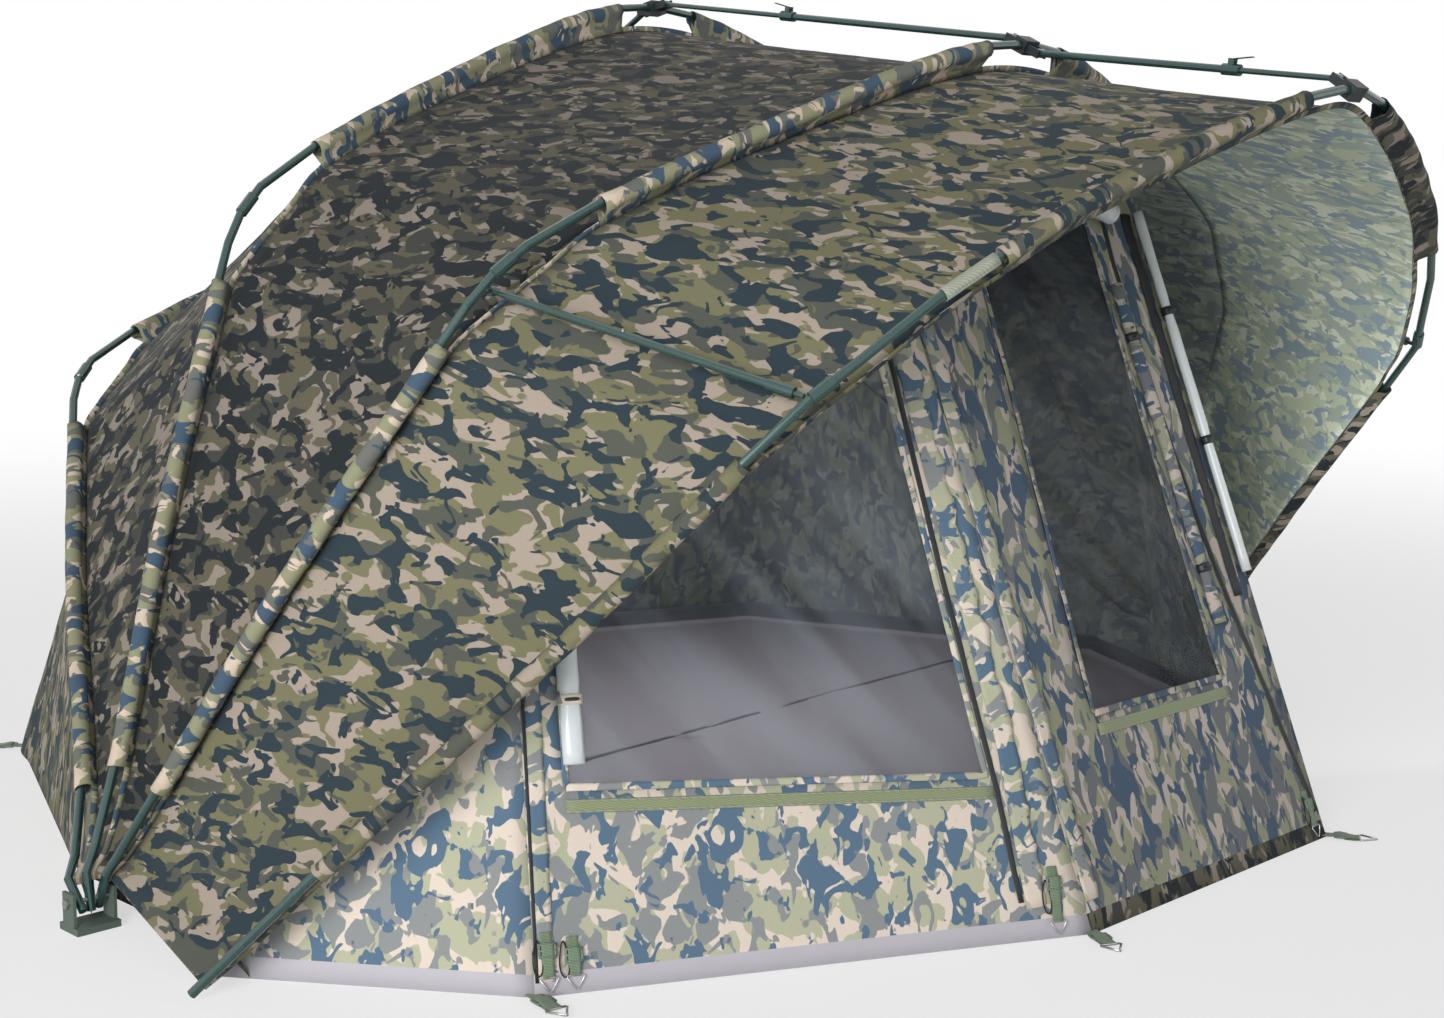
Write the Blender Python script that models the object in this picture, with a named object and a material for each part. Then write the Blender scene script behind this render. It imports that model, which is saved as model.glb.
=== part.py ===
"""Two-person bivvy tent: an outside frame of four ribs on two pivot blocks, with a camouflage canopy hung inside it.
Metres. X is the tent's width, the door faces -Y, the ground is Z = 0 and the ribs turn on the X axis line at Y = 0."""

import math

import bmesh
import bpy
from mathutils import Matrix, Vector

# Frame tubes and general sizes
RIB_R = 0.008
RIB_SIDES = 12
BAR_R = 0.007
BAR_WALL = 0.0011
BAR_BORE_R = BAR_R - BAR_WALL
ROD_EASE = 0.0006
ROD_R = BAR_BORE_R - ROD_EASE
COLLAR_WALL = 0.0032
COLLAR_R = RIB_R + COLLAR_WALL
COLLAR_STEP = 0.001
SOCKET_EASE = 0.0006
SOCKET_R = RIB_R + SOCKET_EASE
SOCKET_LONG = 0.045
SOCKET_FLOOR = 0.011
CROWN_START = 0.0114
GAP = 0.0003
OVERRUN = 0.02

# Pivot blocks: the ribs' common axis
PIVOT_X = 1.60
PIVOT_Z = 0.05
FOOT_STEP = 0.020
FOOT_FADE_S = 0.25
BOLT_R = 0.004
BOLT_EASE = 0.0001
BOLT_HOLE_R = BOLT_R + BOLT_EASE
BOLT_HEAD_R = 0.008
BOLT_HEAD_LONG = 0.006
BLOCK_HALF_X = 0.040
BLOCK_HALF_Y = 0.030
BLOCK_BASE_Z = 0.012
BLOCK_EAR_T = 0.006
BLOCK_EAR_HALF_Y = 0.018
BLOCK_EAR_TOP = 0.068

# Ribs: plane origin (y, z), unit direction (y, z) from the pivot to the apex, share of the foot step
RIBS = {
    "a": ((0.0, 0.05), (0.7330, 0.6802), 1.0),
    "b": ((0.0, 0.05), (0.2011, 0.9796), 0.0),
    "c": ((0.0, 0.05), (-0.4254, 0.9050), -1.0),
    "d": ((-0.393, 0.0), (-0.5655, 0.8248), 0.0),
}
# Rib line and canopy seam line in the rib's own plane: rib x, rib s, seam x, seam s
KEYS_ABC = (
    (1.600, -0.020, 1.600, -0.020),
    (1.600, 0.045, 1.580, 0.045),
    (1.578, 0.085, 1.548, 0.082),
    (1.524, 0.210, 1.494, 0.202),
    (1.459, 0.390, 1.430, 0.381),
    (1.390, 0.580, 1.361, 0.569),
    (1.325, 0.740, 1.297, 0.728),
    (1.258, 0.895, 1.230, 0.882),
    (1.196, 1.035, 1.168, 1.020),
    (1.165, 1.105, 1.112, 1.082),
    (1.130, 1.160, 1.060, 1.130),
    (1.080, 1.210, 1.005, 1.180),
    (0.948, 1.288, 0.935, 1.243),
    (0.780, 1.366, 0.766, 1.330),
    (0.600, 1.442, 0.586, 1.403),
    (0.450, 1.503, 0.437, 1.460),
    (0.300, 1.560, 0.290, 1.512),
    (0.200, 1.592, 0.193, 1.541),
    (0.112, 1.612, 0.108, 1.560),
    (0.035, 1.620, 0.035, 1.567),
)
KEYS_D = (
    (1.652, 0.013, 1.652, 0.013),
    (1.625, 0.057, 1.600, 0.050),
    (1.590, 0.114, 1.562, 0.100),
    (1.510, 0.244, 1.482, 0.229),
    (1.413, 0.393, 1.385, 0.376),
    (1.318, 0.538, 1.290, 0.521),
    (1.227, 0.677, 1.199, 0.661),
    (1.142, 0.825, 1.111, 0.813),
    (1.040, 1.010, 1.008, 0.996),
    (1.000, 1.075, 0.960, 1.052),
    (0.965, 1.130, 0.920, 1.102),
    (0.903, 1.196, 0.858, 1.166),
    (0.800, 1.310, 0.765, 1.272),
    (0.703, 1.390, 0.672, 1.350),
    (0.590, 1.478, 0.565, 1.435),
    (0.450, 1.556, 0.430, 1.512),
    (0.330, 1.618, 0.315, 1.573),
    (0.228, 1.661, 0.218, 1.617),
    (0.128, 1.697, 0.122, 1.655),
    (0.035, 1.717, 0.035, 1.680),
)
# The right leg of the front rib stands further in and back than the left one
RIGHT_FOOT_SHIFT = (-0.267, 0.198)
LEG_TOP_S = 1.130
COLLAR_KEY = 10
SEAM_KEY = 2
LOWER_SLEEVE_KEYS = (3, 8)
UPPER_SLEEVE_KEYS = (12, 18)
FRONT_UPPER_SLEEVE_KEYS = (13, 18)
STRAP_KEYS = (12, 13)

# Sleeves and fins
SLEEVE_EASE = 0.0013
SLEEVE_WALL = 0.0029
SLEEVE_IN_R = RIB_R + SLEEVE_EASE
SLEEVE_OUT_R = SLEEVE_IN_R + SLEEVE_WALL
SLEEVE_SIDES = 8
STRAP_EASE = 0.0004
STRAP_IN_R = RIB_R + STRAP_EASE
FIN_HALF = 0.0012
FIN_REACH = (SLEEVE_IN_R + SLEEVE_OUT_R) / 2
FIN_FREE = 0.012
FIN_FOOT = 0.0012

# Cloth panels
CLOTH = 0.0024
SEAM_GAP = 0.0018
PANEL_ROWS = 5
HEM_Z = 0.006
# Rear hem on the ground: seam key, x, y
REAR_LINE = (
    (2, 1.520, 0.130),
    (5, 1.445, 0.350),
    (11, 1.137, 1.143),
    (15, 0.620, 1.430),
    (19, 0.035, 1.560),
)

# Front wall: ground corners (x, y), roof points and the two windows
FRONT_P1 = (-1.265, -0.753, HEM_Z)
FRONT_P2 = (-0.398, -1.185, HEM_Z)
FRONT_P3 = (0.398, -1.185, HEM_Z)
FRONT_P4 = (1.140, -0.560, HEM_Z)
FRONT_TOP_OUT_X = 1.060
FRONT_TOP_OUT_Y = -0.420
FRONT_TOP_OUT_Z = 1.053
FRONT_TOP_MID_X = 0.740
FRONT_TOP_MID_Z = 1.222
FRONT_TOP_IN = (0.400, -0.622, 1.361)
FRONT_TOP_RIDGE = (0.0, -0.570, 1.425)
FRONT_FOOT_LEFT = (-1.5768, -0.330, HEM_Z)
FRONT_FOOT_RIGHT = (1.350, -0.190, HEM_Z)
WALL_GAP = 0.0007
LEFT_WINDOW = ((0.080, 0.300), (0.805, 0.265), (0.700, 0.950), (0.100, 0.950))
DOOR_WINDOW = ((-0.211, 0.330), (0.215, 0.330), (0.212, 1.100), (-0.168, 1.100))
WINDOW_GAP = 0.0006
MESH_T = 0.0012
COVER_R = 0.013
LEFT_COVER = ((0.092, 0.330), (0.100, 0.930))
DOOR_COVER = ((0.236, 0.420), (0.228, 1.060))
COVER_EASE = 0.0001
COVER_STAND_OFF = COVER_R + CLOTH / 2 + COVER_EASE

# Groundsheet
SHEET_LINE = (
    (-1.470, 0.100),
    (-1.095, 1.060),
    (0.0, 1.470),
    (1.095, 1.060),
    (1.470, 0.100),
    (1.110, -0.560),
    (0.400, -1.158),
    (-0.402, -1.158),
    (-1.235, -0.743),
)
SHEET_T = 0.004
SHEET_RIM_Z = 0.055
SHEET_RIM_SCALE_SHARE = 0.994

# Ridge brackets and bars
BRACKET_HALF_X = 0.020
BRACKET_WALL = 0.006
BRACKET_HALF = RIB_R + BRACKET_WALL
BORE_EASE = 0.0007
BRACKET_BORE_R = RIB_R + BORE_EASE
EAR_IN_X = 0.0092
EAR_OUT_X = 0.0142
EAR_HALF = 0.008
PIN_REACH = 0.036
EAR_END = 0.043
PIN_R = 0.003
PIN_EASE = 0.00008
PIN_HOLE_R = PIN_R + PIN_EASE
LOOSE_HOLE_R = 0.0056
EYE_R = 0.0085
EYE_HALF = 0.0087
PIN_SIDES = 24
NECK_START = 0.007
BORE_FLOOR = 0.050
ROD_OVERLAP = 0.060
REAR_OUTER_LONG = 0.565
MID_OUTER_LONG = 0.600
FRONT_OUTER_LONG = 0.430
CLAMP_LONG = 0.034
CLAMP_R = 0.0105
CLAMP_EAR_IN_X = 0.0046
CLAMP_EAR_OUT_X = 0.0076
CLAMP_EAR_HALF = 0.005
CLAMP_EAR_TOP = 0.0195
LEVER_PIN_UP = 0.0155
LEVER_PIN_R = 0.002
LEVER_HOLE_R = LEVER_PIN_R + PIN_EASE
LEVER_BOSS_R = 0.0040
LEVER_HALF = 0.0043
LEVER_LONG = 0.040
LEVER_RISE = 0.006
LEVER_T = 0.0018

# Side bars
ELBOW_X = 1.152
ELBOW_S = 1.130
ELBOW_EYE_IN_X = 1.118
ELBOW_EYE_OUT_X = 1.128
ELBOW_PIN_END_X = 1.110
ELBOW_HEAD_X = 1.1165
ELBOW_HEAD_R = 0.005
SIDE_NECK = 0.010
SIDE_NECK_R = 0.0048
SIDE_NECK_LONG = 0.030
FERRULE_R = 0.0095
FERRULE_LONG = 0.045
FERRULE_STAND_OFF = 0.030
TONGUE_R = 0.0045
TONGUE_STAND_OFF = 0.0125
BUTTON_SHARE = 0.45
BUTTON_R = 0.0032
BUTTON_HOLE_R = 0.0036
BUTTON_TOP = 0.0100
BUTTON_FOOT = 0.0015
BUTTON_FLOOR = -0.0035

# Peg straps
WEB_HALF = 0.0125
WEB_T = 0.0022
LOCK_HALF_X = 0.017
LOCK_HALF_Y = 0.011
LOCK_T = 0.006
RING_T = 0.0042
RING_WIRE = 0.0044
RING_BACK = 0.0035
RING_LIFT = 0.0006
RING_HALF = 0.021
RING_LONG = 0.036
STRAP_LIFT = 0.0045

MATERIALS = {
    "frame_paint": ((0.035, 0.130, 0.115), 0.32, 0.75),
    "dark_plastic": ((0.020, 0.035, 0.035), 0.45, 0.0),
    "bright_metal": ((0.550, 0.550, 0.540), 0.30, 1.0),
    "camo_roof": ((0.200, 0.170, 0.120), 0.85, 0.0),
    "camo_wall": ((0.300, 0.250, 0.190), 0.85, 0.0),
    "groundsheet_grey": ((0.060, 0.065, 0.070), 0.60, 0.0),
    "window_mesh": ((0.060, 0.070, 0.060), 0.80, 0.0),
    "clear_cover": ((0.780, 0.780, 0.760), 0.25, 0.0),
    "olive_webbing": ((0.130, 0.140, 0.080), 0.80, 0.0),
    "pale_strap": ((0.420, 0.450, 0.390), 0.80, 0.0),
}


def clear_scene():
    for obj in list(bpy.data.objects):
        bpy.data.objects.remove(obj, do_unlink=True)


def material(name):
    found = bpy.data.materials.get(name)
    if found:
        return found
    colour, roughness, metallic = MATERIALS[name]
    made = bpy.data.materials.new(name)
    made.use_nodes = True
    shader = made.node_tree.nodes["Principled BSDF"]
    shader.inputs["Base Color"].default_value = (*colour, 1.0)
    shader.inputs["Roughness"].default_value = roughness
    shader.inputs["Metallic"].default_value = metallic
    return made


def new_object(name, bm, slot):
    bmesh.ops.recalc_face_normals(bm, faces=bm.faces)
    if bm.calc_volume(signed=True) < 0:
        bmesh.ops.reverse_faces(bm, faces=bm.faces)
    for face in bm.faces:
        face.smooth = True
    mesh = bpy.data.meshes.new(name)
    bm.to_mesh(mesh)
    bm.free()
    obj = bpy.data.objects.new(name, mesh)
    bpy.context.scene.collection.objects.link(obj)
    obj.data.materials.append(material(slot))
    return obj


def directions(path):
    found = []
    last = len(path) - 1
    for i in range(len(path)):
        before = (path[i] - path[max(i - 1, 0)]).normalized()
        after = (path[min(i + 1, last)] - path[i]).normalized()
        found.append((before + after).normalized())
    return found


def ring_points(path, radii, sides, side_hint):
    """One ring of points per path point, square to the path and mitred at each bend."""
    rings = []
    for point, way, radius in zip(path, directions(path), radii):
        side = (side_hint - way * side_hint.dot(way)).normalized()
        other = way.cross(side)
        ring = []
        for k in range(sides):
            turn = 2 * math.pi * (k + 0.5) / sides
            ring.append(point + side * (radius * math.cos(turn)) + other * (radius * math.sin(turn)))
        rings.append(ring)
    return rings


def skin(bm, rings):
    made = [[bm.verts.new(p) for p in ring] for ring in rings]
    count = len(made[0])
    for low, high in zip(made, made[1:]):
        for k in range(count):
            bm.faces.new((low[k], low[(k + 1) % count], high[(k + 1) % count], high[k]))
    return made


def tube_mesh(path, radii, sides=RIB_SIDES, side_hint=Vector((0, 1, 0))):
    bm = bmesh.new()
    if not isinstance(radii, (list, tuple)):
        radii = [radii] * len(path)
    made = skin(bm, ring_points(path, radii, sides, side_hint))
    bm.faces.new(made[0][::-1])
    bm.faces.new(made[-1])
    return bm


def pipe_mesh(path, out_r, in_r, sides, side_hint=Vector((0, 1, 0))):
    bm = bmesh.new()
    outer = skin(bm, ring_points(path, [out_r] * len(path), sides, side_hint))
    inner = skin(bm, ring_points(path, [in_r] * len(path), sides, side_hint))
    for end in (0, -1):
        for k in range(sides):
            n = (k + 1) % sides
            bm.faces.new((outer[end][k], outer[end][n], inner[end][n], inner[end][k]))
    return bm


def box_mesh(low, high, matrix=None):
    bm = bmesh.new()
    bmesh.ops.create_cube(bm, size=1.0)
    low = Vector(low)
    high = Vector(high)
    for vert in bm.verts:
        for axis in range(3):
            vert.co[axis] = high[axis] if vert.co[axis] > 0 else low[axis]
    if matrix:
        bmesh.ops.transform(bm, matrix=matrix, verts=bm.verts)
    return bm


def rod_mesh(start, end, radius, sides=PIN_SIDES):
    way = (end - start).normalized()
    hint = Vector((1, 0, 0)) if abs(way.x) < 0.7 else Vector((0, 1, 0))
    return tube_mesh([start, end], radius, sides, hint)


def combine(obj, bm, operation):
    """Joins to or cuts from an object another closed mesh, and applies it."""
    bmesh.ops.recalc_face_normals(bm, faces=bm.faces)
    if bm.calc_volume(signed=True) < 0:
        bmesh.ops.reverse_faces(bm, faces=bm.faces)
    mesh = bpy.data.meshes.new("helper")
    bm.to_mesh(mesh)
    bm.free()
    helper = bpy.data.objects.new("helper", mesh)
    bpy.context.scene.collection.objects.link(helper)
    helper.hide_render = True
    helper.display_type = "WIRE"
    modifier = obj.modifiers.new(operation.lower(), "BOOLEAN")
    modifier.object = helper
    modifier.operation = operation
    modifier.solver = "EXACT"
    bpy.context.view_layer.update()
    graph = bpy.context.evaluated_depsgraph_get()
    joined = bpy.data.meshes.new_from_object(obj.evaluated_get(graph))
    obj.modifiers.clear()
    slot = obj.data.materials[0]
    obj.data = joined
    obj.data.materials.clear()
    obj.data.materials.append(slot)
    for polygon in obj.data.polygons:
        polygon.material_index = 0
        polygon.use_smooth = True
    bpy.data.objects.remove(helper, do_unlink=True)


def cut(obj, bm):
    combine(obj, bm, "DIFFERENCE")


def join(obj, bm):
    combine(obj, bm, "UNION")


def keys_of(rib):
    return KEYS_D if rib == "d" else KEYS_ABC


def in_plane(rib, x, s):
    origin, way, _ = RIBS[rib]
    return Vector((x, origin[0] + s * way[0], origin[1] + s * way[1]))


def foot_shift(rib, side, s):
    """The right leg of the front rib leaves the mirrored line steadily from its joint to its foot."""
    if rib != "d" or side < 0 or s >= LEG_TOP_S:
        return Vector((0, 0, 0))
    share = (LEG_TOP_S - s) / LEG_TOP_S
    return Vector((RIGHT_FOOT_SHIFT[0] * share, RIGHT_FOOT_SHIFT[1] * share, 0))


def rib_point(rib, side, key):
    x, s = keys_of(rib)[key][:2]
    fade = 1 - min(max(s, 0) / FOOT_FADE_S, 1)
    step = RIBS[rib][2] * FOOT_STEP * (fade if key > 1 else 1)
    return in_plane(rib, side * (x + step), s) + foot_shift(rib, side, s)


def seam_point(rib, side, key):
    x, s = keys_of(rib)[key][2:]
    fade = 1 - min(max(s, 0) / FOOT_FADE_S, 1)
    step = RIBS[rib][2] * FOOT_STEP * fade
    return in_plane(rib, side * (x + step), s) + foot_shift(rib, side, s)


def across(rib):
    """The unit normal of a rib's plane, towards the front."""
    way = RIBS[rib][1]
    return Vector((0, -way[1], way[0]))


def outward(rib):
    way = RIBS[rib][1]
    return Vector((0, way[0], way[1]))


def walk(first, last):
    """(side, key) from the left side over the top to the right side."""
    keys = list(range(first, last + 1))
    return [(-1, k) for k in keys] + [(1, k) for k in reversed(keys)]


def build_leg(rib, side):
    name = "rib_%s_leg_%s" % (rib, "left" if side < 0 else "right")
    path = [rib_point(rib, side, k) for k in range(COLLAR_KEY + 1)]
    way = (rib_point(rib, side, COLLAR_KEY + 1) - path[-1]).normalized()
    radii = [RIB_R] * (len(path) - 1)
    path[-1] = path[-1] - way * COLLAR_STEP
    radii.append(RIB_R)
    joint = rib_point(rib, side, COLLAR_KEY)
    path += [joint + way * COLLAR_STEP, joint + way * SOCKET_LONG]
    radii += [COLLAR_R, COLLAR_R]
    leg = new_object(name, tube_mesh(path, radii), "frame_paint")
    socket_start = joint + way * SOCKET_FLOOR
    socket_end = joint + way * (SOCKET_LONG + OVERRUN)
    cut(leg, tube_mesh([socket_start, socket_end], SOCKET_R, RIB_SIDES))
    if rib != "d":
        foot = Vector((side * PIVOT_X, 0, PIVOT_Z))
        reach = Vector((FOOT_STEP + OVERRUN + OVERRUN, 0, 0))
        cut(leg, rod_mesh(foot - reach, foot + reach, BOLT_HOLE_R))
    if rib == "c":
        eye = in_plane("c", side * ELBOW_X, ELBOW_S)
        pin_end = Vector((side * ELBOW_PIN_END_X, eye.y, eye.z))
        head = Vector((side * ELBOW_HEAD_X, eye.y, eye.z))
        join(leg, rod_mesh(eye, pin_end, PIN_R))
        join(leg, rod_mesh(head, pin_end, ELBOW_HEAD_R, RIB_SIDES))
    return leg


def build_crown(rib):
    path = []
    for side in (-1, 1):
        joint = rib_point(rib, side, COLLAR_KEY)
        way = (rib_point(rib, side, COLLAR_KEY + 1) - joint).normalized()
        half = [joint + way * CROWN_START]
        half += [rib_point(rib, side, k) for k in range(COLLAR_KEY + 1, len(keys_of(rib)))]
        path += half if side < 0 else half[::-1]
    return new_object("rib_%s_crown" % rib, tube_mesh(path, RIB_R), "frame_paint")


def build_sleeves(rib):
    """Two leg sleeves and one crown sleeve on one fin, which follows the canopy seam all the way round."""
    upper = FRONT_UPPER_SLEEVE_KEYS if rib == "d" else UPPER_SLEEVE_KEYS
    normal = across(rib)
    bm = bmesh.new()
    rings = []
    for side, key in walk(SEAM_KEY, len(keys_of(rib)) - 1):
        seam = seam_point(rib, side, key)
        tube = rib_point(rib, side, key)
        way = (seam - tube).normalized()
        covered = LOWER_SLEEVE_KEYS[0] <= key <= LOWER_SLEEVE_KEYS[1] or upper[0] <= key <= upper[1]
        outer = tube + way * FIN_REACH if covered else seam - way * FIN_FREE
        inner = seam - way * FIN_FOOT
        half = normal * FIN_HALF
        rings.append([inner - half, outer - half, outer + half, inner + half])
    made = skin(bm, rings)
    bm.faces.new(made[0][::-1])
    bm.faces.new(made[-1])
    slot = "camo_wall"
    sleeves = new_object("rib_%s_sleeves" % rib, bm, slot)
    spans = [(-1, LOWER_SLEEVE_KEYS), (1, LOWER_SLEEVE_KEYS), (-1, upper), (1, upper)]
    for side, span in spans:
        path = [rib_point(rib, side, k) for k in range(span[0], span[1] + 1)]
        join(sleeves, pipe_mesh(path, SLEEVE_OUT_R, SLEEVE_IN_R, SLEEVE_SIDES))
    return sleeves


def build_bracket(rib, ears):
    """A clamp block on the crown with a pair of ears and a cross pin towards each ridge bar."""
    apex = in_plane(rib, 0, keys_of(rib)[-1][1])
    turn = Matrix((Vector((1, 0, 0)), across(rib), outward(rib))).transposed().to_4x4()
    place = Matrix.Translation(apex) @ turn
    low = (-BRACKET_HALF_X, -BRACKET_HALF, -BRACKET_HALF)
    high = (BRACKET_HALF_X, BRACKET_HALF, BRACKET_HALF)
    block = new_object("bracket_" + rib, box_mesh(low, high, place), "dark_plastic")
    for way in ears:
        reach = sorted((way * NECK_START, way * EAR_END))
        for side in (-1, 1):
            wide = sorted((side * EAR_IN_X, side * EAR_OUT_X))
            low = (wide[0], reach[0], -EAR_HALF)
            high = (wide[1], reach[1], EAR_HALF)
            join(block, box_mesh(low, high, place))
        pin = apex + across(rib) * (way * PIN_REACH)
        half = Vector((EAR_OUT_X - GAP, 0, 0))
        join(block, rod_mesh(pin - half, pin + half, PIN_R))
    bore = Vector((BRACKET_HALF_X + OVERRUN, 0, 0))
    cut(block, tube_mesh([apex - bore, apex + bore], BRACKET_BORE_R, RIB_SIDES, across(rib)))
    return block


def ridge_pin(rib, way):
    return in_plane(rib, 0, keys_of(rib)[-1][1]) + across(rib) * (way * PIN_REACH)


def bar_place(start, end):
    """Local Y along the bar and local Z upwards, with its origin at the start pin."""
    along = (end - start).normalized()
    up = Vector((1, 0, 0)).cross(along).normalized()
    if up.z < 0:
        up = -up
    side = along.cross(up)
    return Matrix.Translation(start) @ Matrix((side, along, up)).transposed().to_4x4()


def build_ridge_bar(name, start, end, outer_long, slot="frame_paint"):
    """Outer tube pinned at the start, rod sliding in it with a loose eye over the far pin."""
    place = bar_place(start, end)
    long = (end - start).length
    half = Vector((EYE_HALF, 0, 0))
    outer = new_object(name + "_bar_outer", rod_mesh(start - half, start + half, EYE_R, RIB_SIDES), slot)
    mouth = place @ Vector((0, outer_long, 0))
    join(outer, tube_mesh([place @ Vector((0, NECK_START, 0)), mouth], BAR_R, RIB_SIDES))
    clamp = [place @ Vector((0, outer_long - CLAMP_LONG, 0)), place @ Vector((0, outer_long + GAP, 0))]
    join(outer, tube_mesh(clamp, CLAMP_R, RIB_SIDES))
    lever_y = outer_long - CLAMP_LONG / 2
    if name != "rear":
        for side in (-1, 1):
            wide = sorted((side * CLAMP_EAR_IN_X, side * CLAMP_EAR_OUT_X))
            low = (wide[0], lever_y - CLAMP_EAR_HALF, BAR_R)
            high = (wide[1], lever_y + CLAMP_EAR_HALF, CLAMP_EAR_TOP)
            join(outer, box_mesh(low, high, place))
        reach = CLAMP_EAR_OUT_X - GAP
        ends = [place @ Vector((x, lever_y, LEVER_PIN_UP)) for x in (-reach, reach)]
        join(outer, rod_mesh(ends[0], ends[1], LEVER_PIN_R))
    bore = [place @ Vector((0, BORE_FLOOR, 0)), place @ Vector((0, outer_long + OVERRUN, 0))]
    cut(outer, tube_mesh(bore, BAR_BORE_R, RIB_SIDES))
    cut(outer, rod_mesh(start - half - half, start + half + half, PIN_HOLE_R))
    rod = new_object(name + "_bar_rod", rod_mesh(end - half, end + half, EYE_R, RIB_SIDES), slot)
    tail = place @ Vector((0, outer_long - ROD_OVERLAP, 0))
    join(rod, tube_mesh([tail, place @ Vector((0, long - NECK_START, 0))], ROD_R, RIB_SIDES))
    cut(rod, rod_mesh(end - half - half, end + half + half, LOOSE_HOLE_R))
    if name != "rear":
        build_lever(name, place, lever_y)


def build_lever(name, place, lever_y):
    """The clamp's quick lever: a boss on the clamp's pin and a thin arm rising along the bar."""
    pin = place @ Vector((0, lever_y, LEVER_PIN_UP))
    half = Vector((LEVER_HALF, 0, 0))
    lever = new_object(name + "_clamp_lever", rod_mesh(pin - half, pin + half, LEVER_BOSS_R), "dark_plastic")
    slope = math.atan2(LEVER_RISE, LEVER_LONG)
    lie = place @ Matrix.Translation((0, lever_y, LEVER_PIN_UP)) @ Matrix.Rotation(slope, 4, "X")
    low = (-LEVER_HALF, LEVER_PIN_R, LEVER_PIN_R)
    high = (LEVER_HALF, LEVER_LONG, LEVER_PIN_R + LEVER_T)
    join(lever, box_mesh(low, high, lie))
    cut(lever, rod_mesh(pin - half - half, pin + half + half, LEVER_HOLE_R))


def build_side_bar(side):
    """From its eye on the middle rib's elbow pin to a ferrule against the front rib's joint collar."""
    tag = "left" if side < 0 else "right"
    eye = in_plane("c", side * ELBOW_X, ELBOW_S)
    low_x, high_x = sorted((side * ELBOW_EYE_IN_X, side * ELBOW_EYE_OUT_X))
    start = Vector(((low_x + high_x) / 2, eye.y, eye.z))
    end = rib_point("d", side, COLLAR_KEY)
    along = (end - start).normalized()
    ends = [Vector((low_x, eye.y, eye.z)), Vector((high_x, eye.y, eye.z))]
    bar = new_object("side_bar_" + tag, rod_mesh(ends[0], ends[1], EYE_R, RIB_SIDES), "frame_paint")
    neck = start + along * SIDE_NECK_LONG
    join(bar, tube_mesh([start + along * SIDE_NECK / 2, neck + along * COLLAR_STEP], SIDE_NECK_R, RIB_SIDES))
    stop = end - along * FERRULE_STAND_OFF
    join(bar, tube_mesh([neck, stop], BAR_R, RIB_SIDES))
    join(bar, tube_mesh([stop - along * FERRULE_LONG, stop + along * COLLAR_STEP], FERRULE_R, RIB_SIDES))
    join(bar, tube_mesh([stop, end - along * TONGUE_STAND_OFF], TONGUE_R, RIB_SIDES))
    middle = start + (stop - start) * BUTTON_SHARE
    up = Vector((1, 0, 0)).cross(along).normalized()
    up = up if up.z > 0 else -up
    cut(bar, rod_mesh(middle + up * BUTTON_FLOOR, middle + up * OVERRUN, BUTTON_HOLE_R))
    cut(bar, rod_mesh(ends[0] + (ends[0] - ends[1]), ends[1] + (ends[1] - ends[0]), PIN_HOLE_R))
    button = rod_mesh(middle + up * BUTTON_FOOT, middle + up * BUTTON_TOP, BUTTON_R, RIB_SIDES)
    new_object("push_button_" + tag, button, "bright_metal")


def build_pivot(side):
    tag = "left" if side < 0 else "right"
    centre = side * PIVOT_X
    low = (centre - BLOCK_HALF_X, -BLOCK_HALF_Y, 0)
    high = (centre + BLOCK_HALF_X, BLOCK_HALF_Y, BLOCK_BASE_Z)
    block = new_object("pivot_block_" + tag, box_mesh(low, high), "dark_plastic")
    for way in (-1, 1):
        wide = sorted((centre + way * BLOCK_HALF_X, centre + way * (BLOCK_HALF_X - BLOCK_EAR_T)))
        low = (wide[0], -BLOCK_EAR_HALF_Y, BLOCK_BASE_Z - GAP)
        high = (wide[1], BLOCK_EAR_HALF_Y, BLOCK_EAR_TOP)
        join(block, box_mesh(low, high))
    mid = Vector((centre, 0, PIVOT_Z))
    reach = Vector((BLOCK_HALF_X + GAP, 0, 0))
    cut(block, rod_mesh(mid - reach - reach, mid + reach + reach, BOLT_HOLE_R))
    bolt = new_object("pivot_bolt_" + tag, rod_mesh(mid - reach, mid + reach, BOLT_R), "bright_metal")
    for way in (-1, 1):
        head = Vector((way * BOLT_HEAD_LONG, 0, 0))
        join(bolt, rod_mesh(mid + reach * way, mid + reach * way + head, BOLT_HEAD_R, RIB_SIDES))


def closed_sheet(name, grid, slot, thickness=CLOTH):
    """A closed thin solid from rows of points, half its thickness to each side of them."""
    rows = len(grid)
    cols = len(grid[0])
    bm = bmesh.new()
    faces = {1: [], -1: []}
    normals = []
    for i in range(rows):
        line = []
        for j in range(cols):
            across_rows = grid[min(i + 1, rows - 1)][j] - grid[max(i - 1, 0)][j]
            across_cols = grid[i][min(j + 1, cols - 1)] - grid[i][max(j - 1, 0)]
            line.append(across_rows.cross(across_cols).normalized() * (thickness / 2))
        normals.append(line)
    for way in (1, -1):
        for i in range(rows):
            faces[way].append([bm.verts.new(grid[i][j] + normals[i][j] * way) for j in range(cols)])
    for way in (1, -1):
        made = faces[way]
        for i in range(rows - 1):
            for j in range(cols - 1):
                bm.faces.new((made[i][j], made[i + 1][j], made[i + 1][j + 1], made[i][j + 1]))
    top = faces[1]
    under = faces[-1]
    for j in range(cols - 1):
        for i in (0, rows - 1):
            bm.faces.new((top[i][j], top[i][j + 1], under[i][j + 1], under[i][j]))
    for i in range(rows - 1):
        for j in (0, cols - 1):
            bm.faces.new((top[i][j], top[i + 1][j], under[i + 1][j], under[i][j]))
    return new_object(name, bm, slot)


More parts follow.
